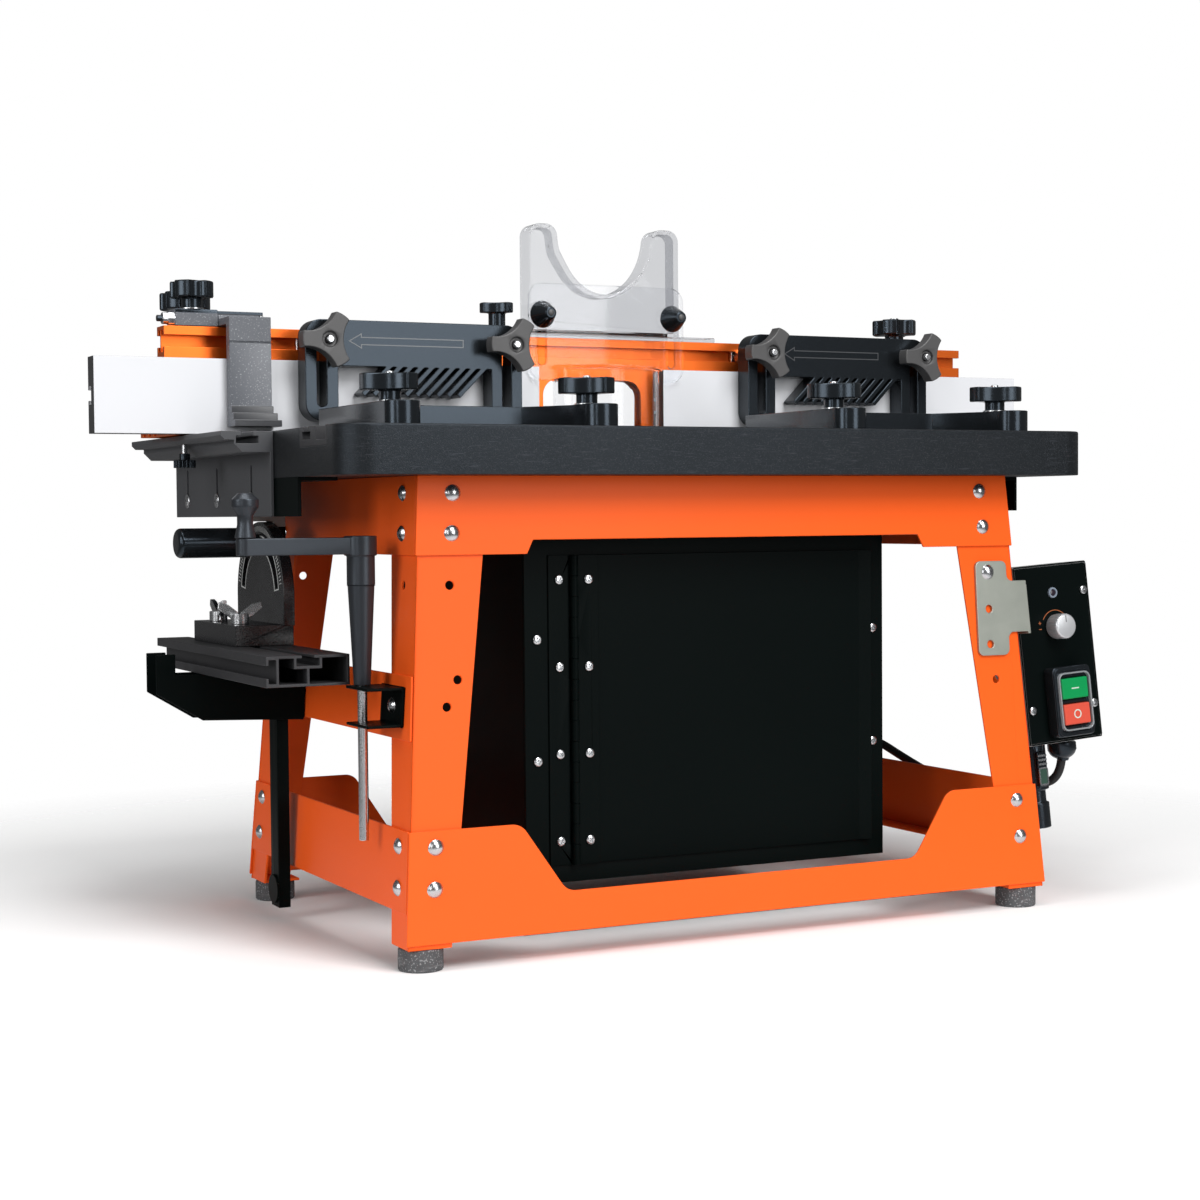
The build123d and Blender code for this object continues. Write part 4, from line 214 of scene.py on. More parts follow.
# Other finishes, by the record's slot or by what they are on
FINISHES = {
    "top_black": (
        "black grained top", (0.010, 0.011, 0.012), (0.006, 0.0065, 0.007), (0.32, 0.46),
        {LEVEL: 0.28, TINT: (0.72, 0.85, 1.0, 1.0)}, 1500, 20, 0.30, 0.0004,
        (1700, 0.62, (0.035, 0.037, 0.040)), (700, (0.10, 0.10, 1.5), (0.030, 0.032, 0.037)),
    ),
    "black_anodised": (
        "dark anodised aluminium", (0.045, 0.045, 0.048), (0.034, 0.034, 0.037), (0.40, 0.52),
        {"Metallic": 0.2, LEVEL: 0.3}, 2600, 10, 0.04,
    ),
    "foot_rubber": (
        "mottled foot rubber", (0.105, 0.108, 0.113), (0.050, 0.051, 0.054), (0.60, 0.80), {LEVEL: 0.25}, 900, 90, 0.25,
        0.0004, (700, 0.60, (0.24, 0.245, 0.25)), (60, (1.0, 1.0, 5.0), (0.16, 0.16, 0.165)),
    ),
    "zinc_steel": (
        "bright zinc", (0.66, 0.67, 0.68), (0.52, 0.53, 0.55), (0.20, 0.32), {"Metallic": 1.0}, 1800, 80, 0.04,
    ),
    "galvanised": (
        "dull galvanised steel", (0.44, 0.46, 0.41), (0.33, 0.35, 0.31), (0.36, 0.50),
        {"Metallic": 0.8}, 1300, 55, 0.06,
    ),
    "white_laminate": (
        "white laminate", (0.74, 0.75, 0.775), (0.715, 0.725, 0.755), (0.32, 0.42), {LEVEL: 0.35}, 1600, 7, 0.03,
    ),
    "plain_aluminium": (
        "machined aluminium", (0.62, 0.63, 0.64), (0.50, 0.51, 0.52), (0.30, 0.44), {"Metallic": 1.0}, 1500, 30, 0.05,
        0.0002, None, (40, (1.0, 1.0, 9.0), (0.70, 0.71, 0.72)),
    ),
    "dark_steel": (
        "dark enamelled casting", (0.023, 0.0245, 0.028), (0.017, 0.018, 0.021), (0.28, 0.40),
        {LEVEL: 0.5, TINT: (0.75, 0.87, 1.0, 1.0)}, 1100, 30, 0.12, 0.0003,
    ),
    "green_plastic": (
        "green push button", (0.005, 0.27, 0.075), (0.004, 0.23, 0.062), (0.26, 0.36), {LEVEL: 0.15}, 1400, 60, 0.05,
    ),
    "red_plastic": (
        "red push button", (0.62, 0.085, 0.052), (0.55, 0.072, 0.045), (0.26, 0.36), {LEVEL: 0.15}, 1400, 60, 0.05,
    ),
    "cord_rubber": (
        "cable sheath", (0.022, 0.022, 0.023), (0.014, 0.014, 0.015), (0.45, 0.60), {LEVEL: 0.3}, 1600, 60, 0.08,
    ),
    "bolt_head": (
        "polished bolt head", (0.58, 0.59, 0.61), (0.48, 0.49, 0.51), (0.20, 0.30), {"Metallic": 1.0}, 900, 120, 0.02,
    ),
    "fence_rail": (
        "grey anodised rail", (0.075, 0.077, 0.083), (0.058, 0.060, 0.065), (0.38, 0.50), {LEVEL: 0.3}, 2200, 12, 0.05,
    ),
    # A lighter grey than the black knobs: a painted sheen for knobs that face the front lamps.
    "clamp_knob": (
        "dark grey knob", (0.078, 0.077, 0.078), (0.060, 0.059, 0.060), (0.36, 0.50), None, 1500, 40, 0.10,
    ),
    "switch_rim": (
        "clear switch rim", (0.55, 0.58, 0.60), (0.48, 0.51, 0.53), (0.10, 0.18),
        {"Transmission Weight": 0.6, "IOR": 1.45}, 700, 60, 0.0,
    ),
    "dial": (
        "satin silver dial", (0.66, 0.67, 0.69), (0.58, 0.59, 0.61), (0.30, 0.42), {"Metallic": 0.6}, 1800, 90,
    ),
    "lamp": ("smoked lamp lens", (0.03, 0.02, 0.03), (0.02, 0.012, 0.02), (0.08, 0.14), None, 800, 200, 0.0),
    "board_edge": (
        "dark board edge", (0.055, 0.056, 0.058), (0.036, 0.037, 0.039), (0.55, 0.70), None, 1200, 40, 0.15,
    ),
    # A lighter bluish grey: a painted sheen on the flip stop's front and side faces, over a real speckle.
    "stop_casting": (
        "speckled grey casting", (0.125, 0.133, 0.150), (0.100, 0.107, 0.122), (0.36, 0.50),
        {LEVEL: 0.4}, 1300, 40, 0.12, 0.0003, (900, 0.63, (0.30, 0.31, 0.33)),
    ),
    "stop_steps": (
        "dark stop steps", (0.045, 0.047, 0.053), (0.035, 0.037, 0.042), (0.34, 0.46), None, 1300, 40, 0.08,
    ),
    "gauge_pointer": (
        "grey pointer casting", (0.30, 0.31, 0.30), (0.24, 0.25, 0.24), (0.40, 0.52), None, 1500, 60,
    ),
    "gauge_head": (
        "black enamelled casting", (0.013, 0.0135, 0.015), (0.009, 0.0095, 0.011), (0.20, 0.30), {LEVEL: 0.5}, 1100, 30,
        0.10, 0.0003,
    ),
}


def finish(key):
    """A finish by its key in the tables."""
    if key == "clear_guard":
        return clear_finish("clear guard plastic", (0.90, 0.906, 0.92))
    if key in COLOURED:
        name, colour, shade, *rest = COLOURED[key]
        chosen = getattr(bpy.context.scene.router_table_colours, colour)
        return surface(name, chosen, [c * shade for c in chosen], *rest)
    return surface(*FINISHES[key])


def clear_finish(name, tint):
    """Clear guard plastic with a faint grey tint."""
    plain = {"Transmission Weight": 1.0, "IOR": 1.06, "Coat Weight": 0.35, "Coat Roughness": 0.04}
    return surface(name, tint, [c * 0.96 for c in tint], (0.02, 0.06), plain, 260, 9, 0.0)


def mark_paint(name, colour):
    """Printed or painted mark."""
    return surface(name, colour, [c * 0.9 for c in colour], (0.45, 0.60), None, 2500, 90, 0.0)


# ---- mesh helpers


def linked(name, data):
    """A new object in the scene."""
    made = bpy.data.objects.new(name, data)
    bpy.context.scene.collection.objects.link(made)
    return made


def piece(name, mesh, body, slot, material, *stands_for):
    """An object at the origin that rides on a body, takes the finishes it is given and may stand for CAD nodes; slot is
    not used.
    """
    made = linked(name, mesh)
    if material is not None:
        for one in material if isinstance(material, (list, tuple)) else [material]:
            mesh.materials.append(one)
    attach(made, body)
    if stands_for:
        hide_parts(*stands_for)
    return made


def shaped(name, work, matrix, body, slot, material, *stands_for):
    """A bmesh moved by a matrix, as a piece."""
    work.transform(matrix)
    return piece(name, plain_mesh(work, name), body, slot, material, *stands_for)


def applied(made):
    """The mesh of an object with its modifiers applied, and the object removed."""
    mesh = bpy.data.meshes.new_from_object(made.evaluated_get(bpy.context.evaluated_depsgraph_get()))
    bpy.data.objects.remove(made)
    return mesh


def merged(node):
    """A CAD node's loose triangles merged into whole faces, as a bmesh."""
    work = bmesh.new()
    work.from_mesh(NODES[node].data)
    bmesh.ops.remove_doubles(work, verts=work.verts, dist=MERGE_DISTANCE * MM)
    bmesh.ops.dissolve_limit(work, angle_limit=math.radians(FLAT_ANGLE), verts=work.verts, edges=work.edges)
    return work


def loose_solids(work):
    """The faces of each separate solid of a bmesh."""
    left = set(work.faces)
    found = []
    while left:
        queue = [left.pop()]
        solid = []
        while queue:
            face = queue.pop()
            solid.append(face)
            for edge in face.edges:
                for other in edge.link_faces:
                    if other in left:
                        left.discard(other)
                        queue.append(other)
        found.append(solid)
    return found


def corners_of(faces):
    """Places of the corners of some faces, in millimetres."""
    return np.array([v.co for v in {v for f in faces for v in f.verts}]) / MM


def plain_mesh(work, name):
    """A bmesh as a mesh, smooth but for its sharp edges."""
    mesh = bpy.data.meshes.new(name)
    work.to_mesh(mesh)
    work.free()
    mesh.shade_smooth()
    mesh.set_sharp_from_angle(angle=math.radians(SMOOTH_ANGLE))
    return mesh


def softened(mesh, edge, segments):
    """A mesh with its sharp edges rounded by a bevel."""
    work = linked("softened", mesh)
    soft = work.modifiers.new("soft edges", "BEVEL")
    soft.width = edge * MM
    soft.segments = segments
    soft.limit_method = "ANGLE"
    soft.angle_limit = math.radians(BEVEL_ANGLE)
    soft.use_clamp_overlap = False
    soft.miter_outer = "MITER_ARC"
    soft.harden_normals = True
    return applied(work)


def carved(mesh, cutter):
    """A mesh with a cutter's shape taken out of it."""
    work = linked("carved", mesh)
    tool = linked("cutter", plain_mesh(cutter, "cutter"))
    cut = work.modifiers.new("cut", "BOOLEAN")
    cut.operation = "DIFFERENCE"
    cut.solver = "EXACT"
    cut.object = tool
    bpy.context.view_layer.update()
    mesh = applied(work)
    bpy.data.objects.remove(tool)
    return mesh


def dress(node, edge=0.5, segments=2, finishes=None, pick=None, cutter=None, reshape=None):
    """A CAD node's own shape with softened edges and its finishes, standing for the node.
    pick(place, normal, size, middle) numbers a face's finish by its place and normal and its solid's size and middle.
    reshape(bmesh) changes the shape first, and a cutter's shape is taken out of it."""
    work = merged(node)
    if reshape:
        reshape(work)
    if pick:
        for solid in loose_solids(work):
            corners = corners_of(solid)
            size, middle = np.ptp(corners, axis=0), (corners.min(0) + corners.max(0)) / 2
            for face in solid:
                face.material_index = pick(face.calc_center_median() / MM, face.normal, size, middle)
    mesh = plain_mesh(work, node + "_shape")
    if cutter:
        mesh = carved(mesh, cutter)
    if edge:
        mesh = softened(mesh, edge, segments)
    mesh.name = node + "_dressed"
    slot = SLOT_OF[node]
    return piece(node + "_dressed", mesh, BODY_OF[node], slot, finishes or finish(slot), node)


def around(radius, degrees, middle=(0.0, 0.0)):
    """Points in X and Y on a circle, at some angles."""
    turns = [math.radians(t) for t in degrees]
    return [(middle[0] + radius * math.cos(t), middle[1] + radius * math.sin(t)) for t in turns]


def lathe(profile, steps):
    """A shape of revolution about Z from (radius, height) pairs in millimetres, closed where it meets the axis."""
    work = bmesh.new()
    rings = []
    for radius, height in profile:
        count = 1 if radius == 0 else steps
        ring = around(radius * MM, [360 * i / steps for i in range(count)])
        rings.append([work.verts.new((x, y, height * MM)) for x, y in ring])
    for low, high in zip(rings, rings[1:]):
        for i in range(steps):
            j = (i + 1) % steps
            ring = (low[i % len(low)], low[j % len(low)], high[j % len(high)], high[i % len(high)])
            face = list(dict.fromkeys(ring))
            if len(face) > 2:
                work.faces.new(face)
    bmesh.ops.recalc_face_normals(work, faces=work.faces)
    return work


def washer(radius, ease, height, steps):
    """A flat disc with eased rims, seat at height 0."""
    rim = [(radius - ease, 0), (radius, 0.2), (radius, height - 0.2), (radius - ease, height)]
    return lathe([(0, 0), *rim, (0, height)], steps)


def prism(outline, low, high, work=None):
    """An outline in X and Y, in millimetres, drawn up between two heights."""
    work = work or bmesh.new()
    bottom = [work.verts.new((x * MM, y * MM, low * MM)) for x, y in outline]
    top = [work.verts.new((x * MM, y * MM, high * MM)) for x, y in outline]
    work.faces.new(bottom[::-1])
    work.faces.new(top)
    for i in range(len(outline)):
        j = (i + 1) % len(outline)
        work.faces.new((bottom[i], bottom[j], top[j], top[i]))
    bmesh.ops.recalc_face_normals(work, faces=work.faces)
    return work


def band(path, width, low, high, closed=True, work=None):
    """A flat strip of even width along a path in X and Y, between two heights."""
    work = work or bmesh.new()
    count, sharpest = len(path), 0.35
    points = [Vector((*p, 0)) for p in path]
    left, right = [], []
    for i, here in enumerate(points):
        before = points[i - 1] if closed or i else here
        after = points[(i + 1) % count] if closed or i + 1 < count else here
        first, second = (here - before), (after - here)
        first = first.normalized() if first.length else second.normalized()
        second = second.normalized() if second.length else first
        middle = (first + second).normalized()
        side = Vector((-middle.y, middle.x, 0)) * (width / 2 / max(sharpest, middle.dot(first)))
        left.append(here + side)
        right.append(here - side)
    spans = count if closed else count - 1
    lines = ((left, low), (right, low), (right, high), (left, high))
    rows = [[work.verts.new((p.x * MM, p.y * MM, z * MM)) for p in line] for line, z in lines]
    for i in range(spans):
        j = (i + 1) % count
        for a, b in ((0, 1), (1, 2), (2, 3), (3, 0)):
            work.faces.new((rows[a][i], rows[a][j], rows[b][j], rows[b][i]))
    if not closed:
        work.faces.new([row[0] for row in rows])
        work.faces.new([row[-1] for row in rows][::-1])
    bmesh.ops.recalc_face_normals(work, faces=work.faces)
    return work


def rounded_box(width, height, radius, steps=6):
    """Outline of a rectangle with round corners."""
    points = []
    for cx, cy, start in ((1, 1, 0), (-1, 1, 90), (-1, -1, 180), (1, -1, 270)):
        middle = (cx * (width / 2 - radius), cy * (height / 2 - radius))
        points += around(radius, [start + 90 * i / steps for i in range(steps + 1)], middle)
    return points


def facing(place, normal, across):
    """A matrix that sets a shape made at the origin onto a place in millimetres, Z along the normal."""
    z = Vector(normal).normalized()
    x = (Vector(across) - z * Vector(across).dot(z)).normalized()
    turn = Matrix((x, z.cross(x), z)).transposed().to_4x4()
    turn.translation = Vector(place) * MM
    return turn


def seats_of(node, directions):
    """Each loose solid of a fastener node as (its outer tip, its direction outward, its length), in order of place."""
    work = merged(node)
    seats = []
    for solid in loose_solids(work):
        corners = corners_of(solid)
        fits = []
        for direction in directions:
            n = np.array(Vector(direction).normalized())
            along = corners @ n
            flat = corners - np.outer(along, n)
            centre = (flat.min(0) + flat.max(0)) / 2
            spread = np.linalg.norm(flat - centre, axis=1).max()
            fits.append((spread, centre, n, along))
        _, centre, n, along = min(fits, key=lambda fit: fit[0])
        if (centre + n * along.mean()) @ n < 0:
            n, along = -n, -along
        seats.append((centre + n * along.max(), n, np.ptp(along)))
    work.free()
    return sorted(seats, key=lambda seat: tuple(seat[0]))


def domed_bolt():
    """Bolt with a low domed head, seat at height 0."""
    shank = [(0, -10), (2.5, -10), (3, -9.5), (3, 0), (5.7, 0), (6, 0.12)]
    ball, sunk = 7.225, 4.025
    dome = around(ball, range(36, 90, 6), (0.0, -sunk))
    return plain_mesh(lathe([*shank, *dome, (0, BOLT_HEAD)], 28), "domed_bolt")


def hex_nut(flats, height):
    """Hexagon nut whose outer face is at height 0."""
    corner = flats / 2 / math.cos(math.pi / 6)
    return softened(plain_mesh(prism(around(corner, range(0, 360, 60)), -height, 0), "hex_nut"), 0.5, 2)


def pan_screw():
    """Pan-head screw with a cross recess, seat at height 0."""
    arm, reach, floor, shrink, crown = 0.5, 1.9, 0.7, 0.8, 1.98
    shank = [(0, -7), (1.5, -7), (2, -6.4), (2, 0)]
    head = [(3.4, 0), (3.6, 0.25), (3.6, 0.8), (3.35, 1.4), (2.7, 1.85), (2.3, crown)]
    work = lathe(shank + head, 24)
    rim = [edge for edge in work.edges if edge.is_boundary]
    cross = [(arm, arm), (arm, reach), (-arm, reach), (-arm, arm), (-reach, arm), (-reach, -arm)]
    cross += [(-x, -y) for x, y in cross]
    top = [work.verts.new((x * MM, y * MM, crown * MM)) for x, y in cross]
    low = [work.verts.new((x * shrink * MM, y * shrink * MM, floor * MM)) for x, y in cross]
    loop = [work.edges.new((top[i - 1], top[i])) for i in range(len(cross))]
    bmesh.ops.triangle_fill(work, edges=rim + loop, use_beauty=True)
    for i in range(len(cross)):
        work.faces.new((top[i - 1], top[i], low[i], low[i - 1]))
    work.faces.new(low)
    bmesh.ops.recalc_face_normals(work, faces=work.faces)
    return plain_mesh(work, "pan_screw")


# ---- repeats


@once
def shape_on_seats(name):
    """Geometry Nodes: one shape on every seat, turned to the seat's facing and spun about it."""
    sockets = {"Seats": "Geometry", "Shape": "Object", "Finish": "Material", "Loose Turn": "Float", "Seed": "Int"}
    tree, start, end = new_group(name, "GeometryNodeTree", sockets, {"Pieces": "Geometry"})
    look = put(tree, "GeometryNodeInputNamedAttribute", {"Name": "facing"}, data_type="FLOAT_VECTOR")
    side = put(tree, "GeometryNodeInputNamedAttribute", {"Name": "across"}, data_type="FLOAT_VECTOR")
    stand = put(tree, "FunctionNodeAlignRotationToVector", {"Vector": look.outputs[0]}, axis="Z")
    turned = put(
        tree,
        "FunctionNodeAlignRotationToVector",
        {"Rotation": stand.outputs[0], "Vector": side.outputs[0]},
        axis="X",
        pivot_axis="Z",
    )
    most, seed = start.outputs["Loose Turn"], start.outputs["Seed"]
    loose = put(tree, "FunctionNodeRandomValue", {2: 0.0, 3: most, "Seed": seed})
    spin = put(tree, "FunctionNodeAxisAngleToRotation", {"Axis": (0, 0, 1), "Angle": loose.outputs[1]})
    both = {"Rotation": turned.outputs[0], "Rotate By": spin.outputs[0]}
    final = put(tree, "FunctionNodeRotateRotation", both, rotation_space="LOCAL")
    shape = put(tree, "GeometryNodeObjectInfo", {"Object": start.outputs["Shape"]})
    placed = put(
        tree,
        "GeometryNodeInstanceOnPoints",
        {"Points": start.outputs["Seats"], "Instance": shape.outputs["Geometry"], "Rotation": final.outputs[0]},
    )
    real = put(tree, "GeometryNodeRealizeInstances", {"Geometry": placed.outputs[0]})
    painted = put(tree, "GeometryNodeSetMaterial", {"Geometry": real.outputs[0], "Material": start.outputs["Finish"]})
    tree.links.new(painted.outputs[0], end.inputs["Pieces"])
    return tree


def repeat(name, shape, seats, material, loose_turn=0.0, seed=7):
    """A mesh with one shape on each seat; a seat is (place in millimetres, facing, across)."""
    points = bpy.data.meshes.new(name + "_seats")
    points.from_pydata([Vector(p) * MM for p, _, _ in seats], [], [])
    for label, values in (("facing", [f for _, f, _ in seats]), ("across", [a for _, _, a in seats])):
        spot = points.attributes.new(label, "FLOAT_VECTOR", "POINT")
        spot.data.foreach_set("vector", [c for v in values for c in v])
    carrier, pattern = linked(name + "_seats", points), linked(name + "_pattern", shape)
    tree = shape_on_seats()
    nodes = carrier.modifiers.new("repeat", "NODES")
    nodes.node_group = tree
    inputs = {"Shape": pattern, "Finish": material, "Loose Turn": loose_turn, "Seed": seed}
    for socket in tree.interface.items_tree:
        if socket.in_out == "INPUT" and socket.name in inputs:
            nodes[socket.identifier] = inputs[socket.name]
    carrier.update_tag()
    bpy.context.view_layer.update()
    mesh = applied(carrier)
    bpy.data.objects.remove(pattern)
    mesh.name = name
    return mesh


def stacked(name, meshes):
    """Several meshes joined into one, each keeping its finishes."""
    work = bmesh.new()
    finishes = []
    for mesh in meshes:
        before = len(work.faces)
        work.from_mesh(mesh)
        work.faces.ensure_lookup_table()
        for face in work.faces[before:]:
            face.material_index += len(finishes)
        finishes += list(mesh.materials)
    made = plain_mesh(work, name)
    for one in finishes:
        made.materials.append(one)
    return made


# ---- properties


def colour_property(name, description, default):
    """A colour that the user may change."""
    return bpy.props.FloatVectorProperty(
        name=name, description=description, subtype="COLOR", default=default, min=0, max=1
    )


class RouterTableColours(bpy.types.PropertyGroup):
    """Colours of the main finishes."""

    paint: colour_property("Stand paint", "Powder coat of the stand", (0.92, 0.116, 0.014))
    anodised: colour_property("Fence beam", "Anodised colour of the fence beam", (0.92, 0.165, 0.02))
    steel: colour_property("Cabinet steel", "Coat of the cabinet and door", (0.0022, 0.0042, 0.0040))
    plastic: colour_property("Moulded plastic", "Colour of knobs and boards", (0.010, 0.0115, 0.013))


class RouterTableSizes(bpy.types.PropertyGroup):
    """Sizes of small detail that the frame doesn't carry."""

    lead_diameter: bpy.props.FloatProperty(
        name="Lead diameter",
        description="Outer diameter of the motor lead",
        default=7.3 * MM,
        unit="LENGTH",
        precision=4,
    )


# ---- operators


class STAGE_OT_router_table(bpy.types.Operator):
    """Camera, floor, world and lamps"""

    bl_idname = "router_table.stage"
    bl_label = "Stage"

    def execute(self, context):
        scene = context.scene
        scene.view_settings.view_transform = "Standard"
        lens = bpy.data.cameras.new("photograph camera")
        lens.sensor_width = 36.0
        lens.lens = 65.16
        lens.clip_start = 0.05
        lens.clip_end = 60.0
        camera = linked("photograph_camera", lens)
        right, up, back = (0.8932, -0.4496, -0.0082), (0.0251, 0.0317, 0.9992), (-0.449, -0.8927, 0.0396)
        turn = Matrix([Vector(axis).normalized() for axis in (right, up, back)]).transposed().to_4x4()
        turn.translation = Vector((-821, -1565, 317)) * MM
        camera.matrix_world = turn
        scene.camera = camera
        self.make_world(scene)
        self.make_floor()
        for name, place, aim, size, power in (
            ("high_softbox", (0.3, -2.2, 2.3), (0.0, 0.0, 0.2), (1.4, 1.4), 68.0),
            ("overhead_softbox", (-0.3, -0.2, 2.4), (0.0, 0.0, 0.3), (1.6, 1.2), 26.0),
            ("front_softbox", (0.7, -2.5, 0.8), (0.0, 0.0, 0.25), (1.1, 1.5), 22.0),
            ("left_softbox", (-2.4, -0.6, 1.0), (-0.2, 0.0, 0.2), (0.9, 1.4), 22.0),
            ("strip_softbox", (-1.75, -1.65, 0.8), (-0.2, 0.0, 0.3), (0.22, 1.4), 5.0),
        ):
            lamp = bpy.data.lights.new(name, "AREA")
            lamp.shape = "RECTANGLE"
            lamp.size, lamp.size_y = size
            lamp.energy = power
            held = linked(name, lamp)
            held.location = place
            held.rotation_euler = (Vector(aim) - Vector(place)).to_track_quat("-Z", "Y").to_euler()
        return {"FINISHED"}

    def make_world(self, scene):
        world = bpy.data.worlds.new("white studio")
        scene.world = world
        world.use_nodes = True
        tree = world.node_tree
        tree.nodes.clear()
        ray = tree.nodes.new("ShaderNodeLightPath").outputs
        direct = {0: ray["Is Camera Ray"], 1: ray["Is Transmission Ray"]}
        seen = put(tree, "ShaderNodeMath", direct, operation="MAXIMUM")
        lit = mapped(tree, seen.outputs[0], 0.0, 1.0, 0.13, 1.0)
        glow = put(tree, "ShaderNodeBackground", {"Color": (1, 1, 1, 1), "Strength": lit})
        end = tree.nodes.new("ShaderNodeOutputWorld")
        tree.links.new(glow.outputs[0], end.inputs[0])

    def make_floor(self):
        work = bmesh.new()
        bmesh.ops.create_circle(work, cap_ends=True, segments=64, radius=2.2)
        mesh = bpy.data.meshes.new("floor")
        work.to_mesh(mesh)
        work.free()
        floor = linked("floor", mesh)
        material = bpy.data.materials.new("white floor")
        material.use_nodes = True
        tree = material.node_tree
        shader = tree.nodes["Principled BSDF"]
        shader.inputs["Base Color"].default_value = (0.93, 0.93, 0.93, 1)
        shader.inputs["Roughness"].default_value = 0.9
        shader.inputs[LEVEL].default_value = 0.0
        place = tree.nodes.new("ShaderNodeTexCoord").outputs["Object"]
        far = put(tree, "ShaderNodeVectorMath", {0: place}, operation="LENGTH")
        fade = mapped(tree, far.outputs["Value"], 0.45, 0.95, 1.0, 0.0)
        tree.links.new(fade, shader.inputs["Alpha"])
        mesh.materials.append(material)


class LEAD_OT_router_table(bpy.types.Operator):
    """Motor lead from the gland to the cabinet"""

    bl_idname = "router_table.lead"
    bl_label = "Motor lead"

    def execute(self, context):
        route = [
            (332.9, -124.5, 124.9), (334.9, -126.8, 94.1), (320.0, -98.0, 84.0), (300.0, -76.0, 80.0),
            (283.7, -30.0, 83.0), (282.7, 30.0, 98.0), (273.7, 62.0, 112.6), (251.7, 77.0, 118.6),
            (210.0, 80.0, 134.0), (145.0, 80.0, 134.0),
        ]
        width = context.scene.router_table_sizes.lead_diameter
        line = bpy.data.curves.new("motor_lead_line", "CURVE")
        line.dimensions = "3D"
        line.bevel_depth = width / 2
        line.bevel_resolution = 6
        line.resolution_u = 12
        line.use_fill_caps = True
        spline = line.splines.new("NURBS")
        spline.points.add(len(route) - 1)
        for point, place in zip(spline.points, route):
            point.co = (*[v * MM for v in place], 1.0)
        spline.order_u = 3
        spline.use_endpoint_u = True
        lead = linked("motor_lead_cord", line)
        line.materials.append(finish("cord_rubber"))
        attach(lead, "stand")
        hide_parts("motor_lead")
        return {"FINISHED"}


class STAND_OT_router_table(bpy.types.Operator):
    """Painted sheet stand and its rubber feet"""

    bl_idname = "router_table.stand"
    bl_label = "Stand"

    def execute(self, context):
        sheets = ("long_top_rails", "side_top_rails", "long_bottom_rails", "side_bottom_rails", "accessory_rail")
        for node in ("stand_legs", *sheets):
            dress(node, 0.6)
        dress("rubber_feet", 1.8, 3)
        return {"FINISHED"}


class FASTENERS_OT_router_table(bpy.types.Operator):
    """Domed bolts, nuts and small screws, set on the seats of the CAD solids"""

    bl_idname = "router_table.fasteners"
    bl_label = "Fasteners"

    def execute(self, context):
        lean_side, lean_front, longest_nut, rail_x, rail_z = 0.0652, 0.0727, 10, 300, 330
        leans = [(sx, 0, lean_side) for sx in (-1, 1)] + [(0, sy, lean_front) for sy in (-1, 1)]
        ways = leans + [RIGHT, FRONT, UP]
        bolts, nuts = [], []
        for tip, out, length in seats_of("stand_bolts", ways):
            if length > longest_nut:
                bolts.append((tip - out * BOLT_HEAD, out, UP))
            else:
                nuts.append((tip, out, UP))
        made = [
            repeat("domed_bolts", domed_bolt(), bolts, finish("bolt_head"), FULL_TURN, 3),
            repeat("hex_nuts", hex_nut(10.0, 5.0), nuts, finish("zinc_steel"), FULL_TURN, 5),
        ]
        piece("stand_bolts_set", stacked("stand_bolts_set", made), "stand", "zinc_steel", None, "stand_bolts")
        for node, body in (("machine_screws", "stand"), ("door_screws", "door")):
            seats = [(tip - out * SCREW_HEAD, out, UP) for tip, out, _ in seats_of(node, ways)]
            mesh = repeat(node + "_set", pan_screw(), seats, finish("zinc_steel"), FULL_TURN, 11)
            rail = [seat for seat in seats if abs(seat[0][0]) > rail_x and abs(seat[0][2] - rail_z) < 2]
            if rail:
                disc = plain_mesh(washer(5.8, 0.2, 0.9, 28), "rail_washer")
                mesh = stacked(node + "_set", [mesh, repeat("rail_washers", disc, rail, finish("zinc_steel"))])
            piece(node + "_set", mesh, body, "zinc_steel", None, node)
        dress("fence_bolts")
        return {"FINISHED"}


class TOP_OT_router_table(bpy.types.Operator):
    """Grained black top, its aluminium track and the insert ring"""

    bl_idname = "router_table.top"
    bl_label = "Top"

    def execute(self, context):
        dress("table_top", 0.6)
        dress("table_track", 0.3)
        dress("throat_ring", 0.6)
        return {"FINISHED"}


class CABINET_OT_router_table(bpy.types.Operator):
    """Sheet cabinet with its door and piano hinge"""

    bl_idname = "router_table.cabinet"
    bl_label = "Cabinet"

    def execute(self, context):
        dress("cabinet_shell", 0.4)
        dress("cabinet_door", 0.6, 3)
        dress("hinge_frame_leaf", 0.3)
        dress("hinge_door_leaf", 0.3)
        return {"FINISHED"}


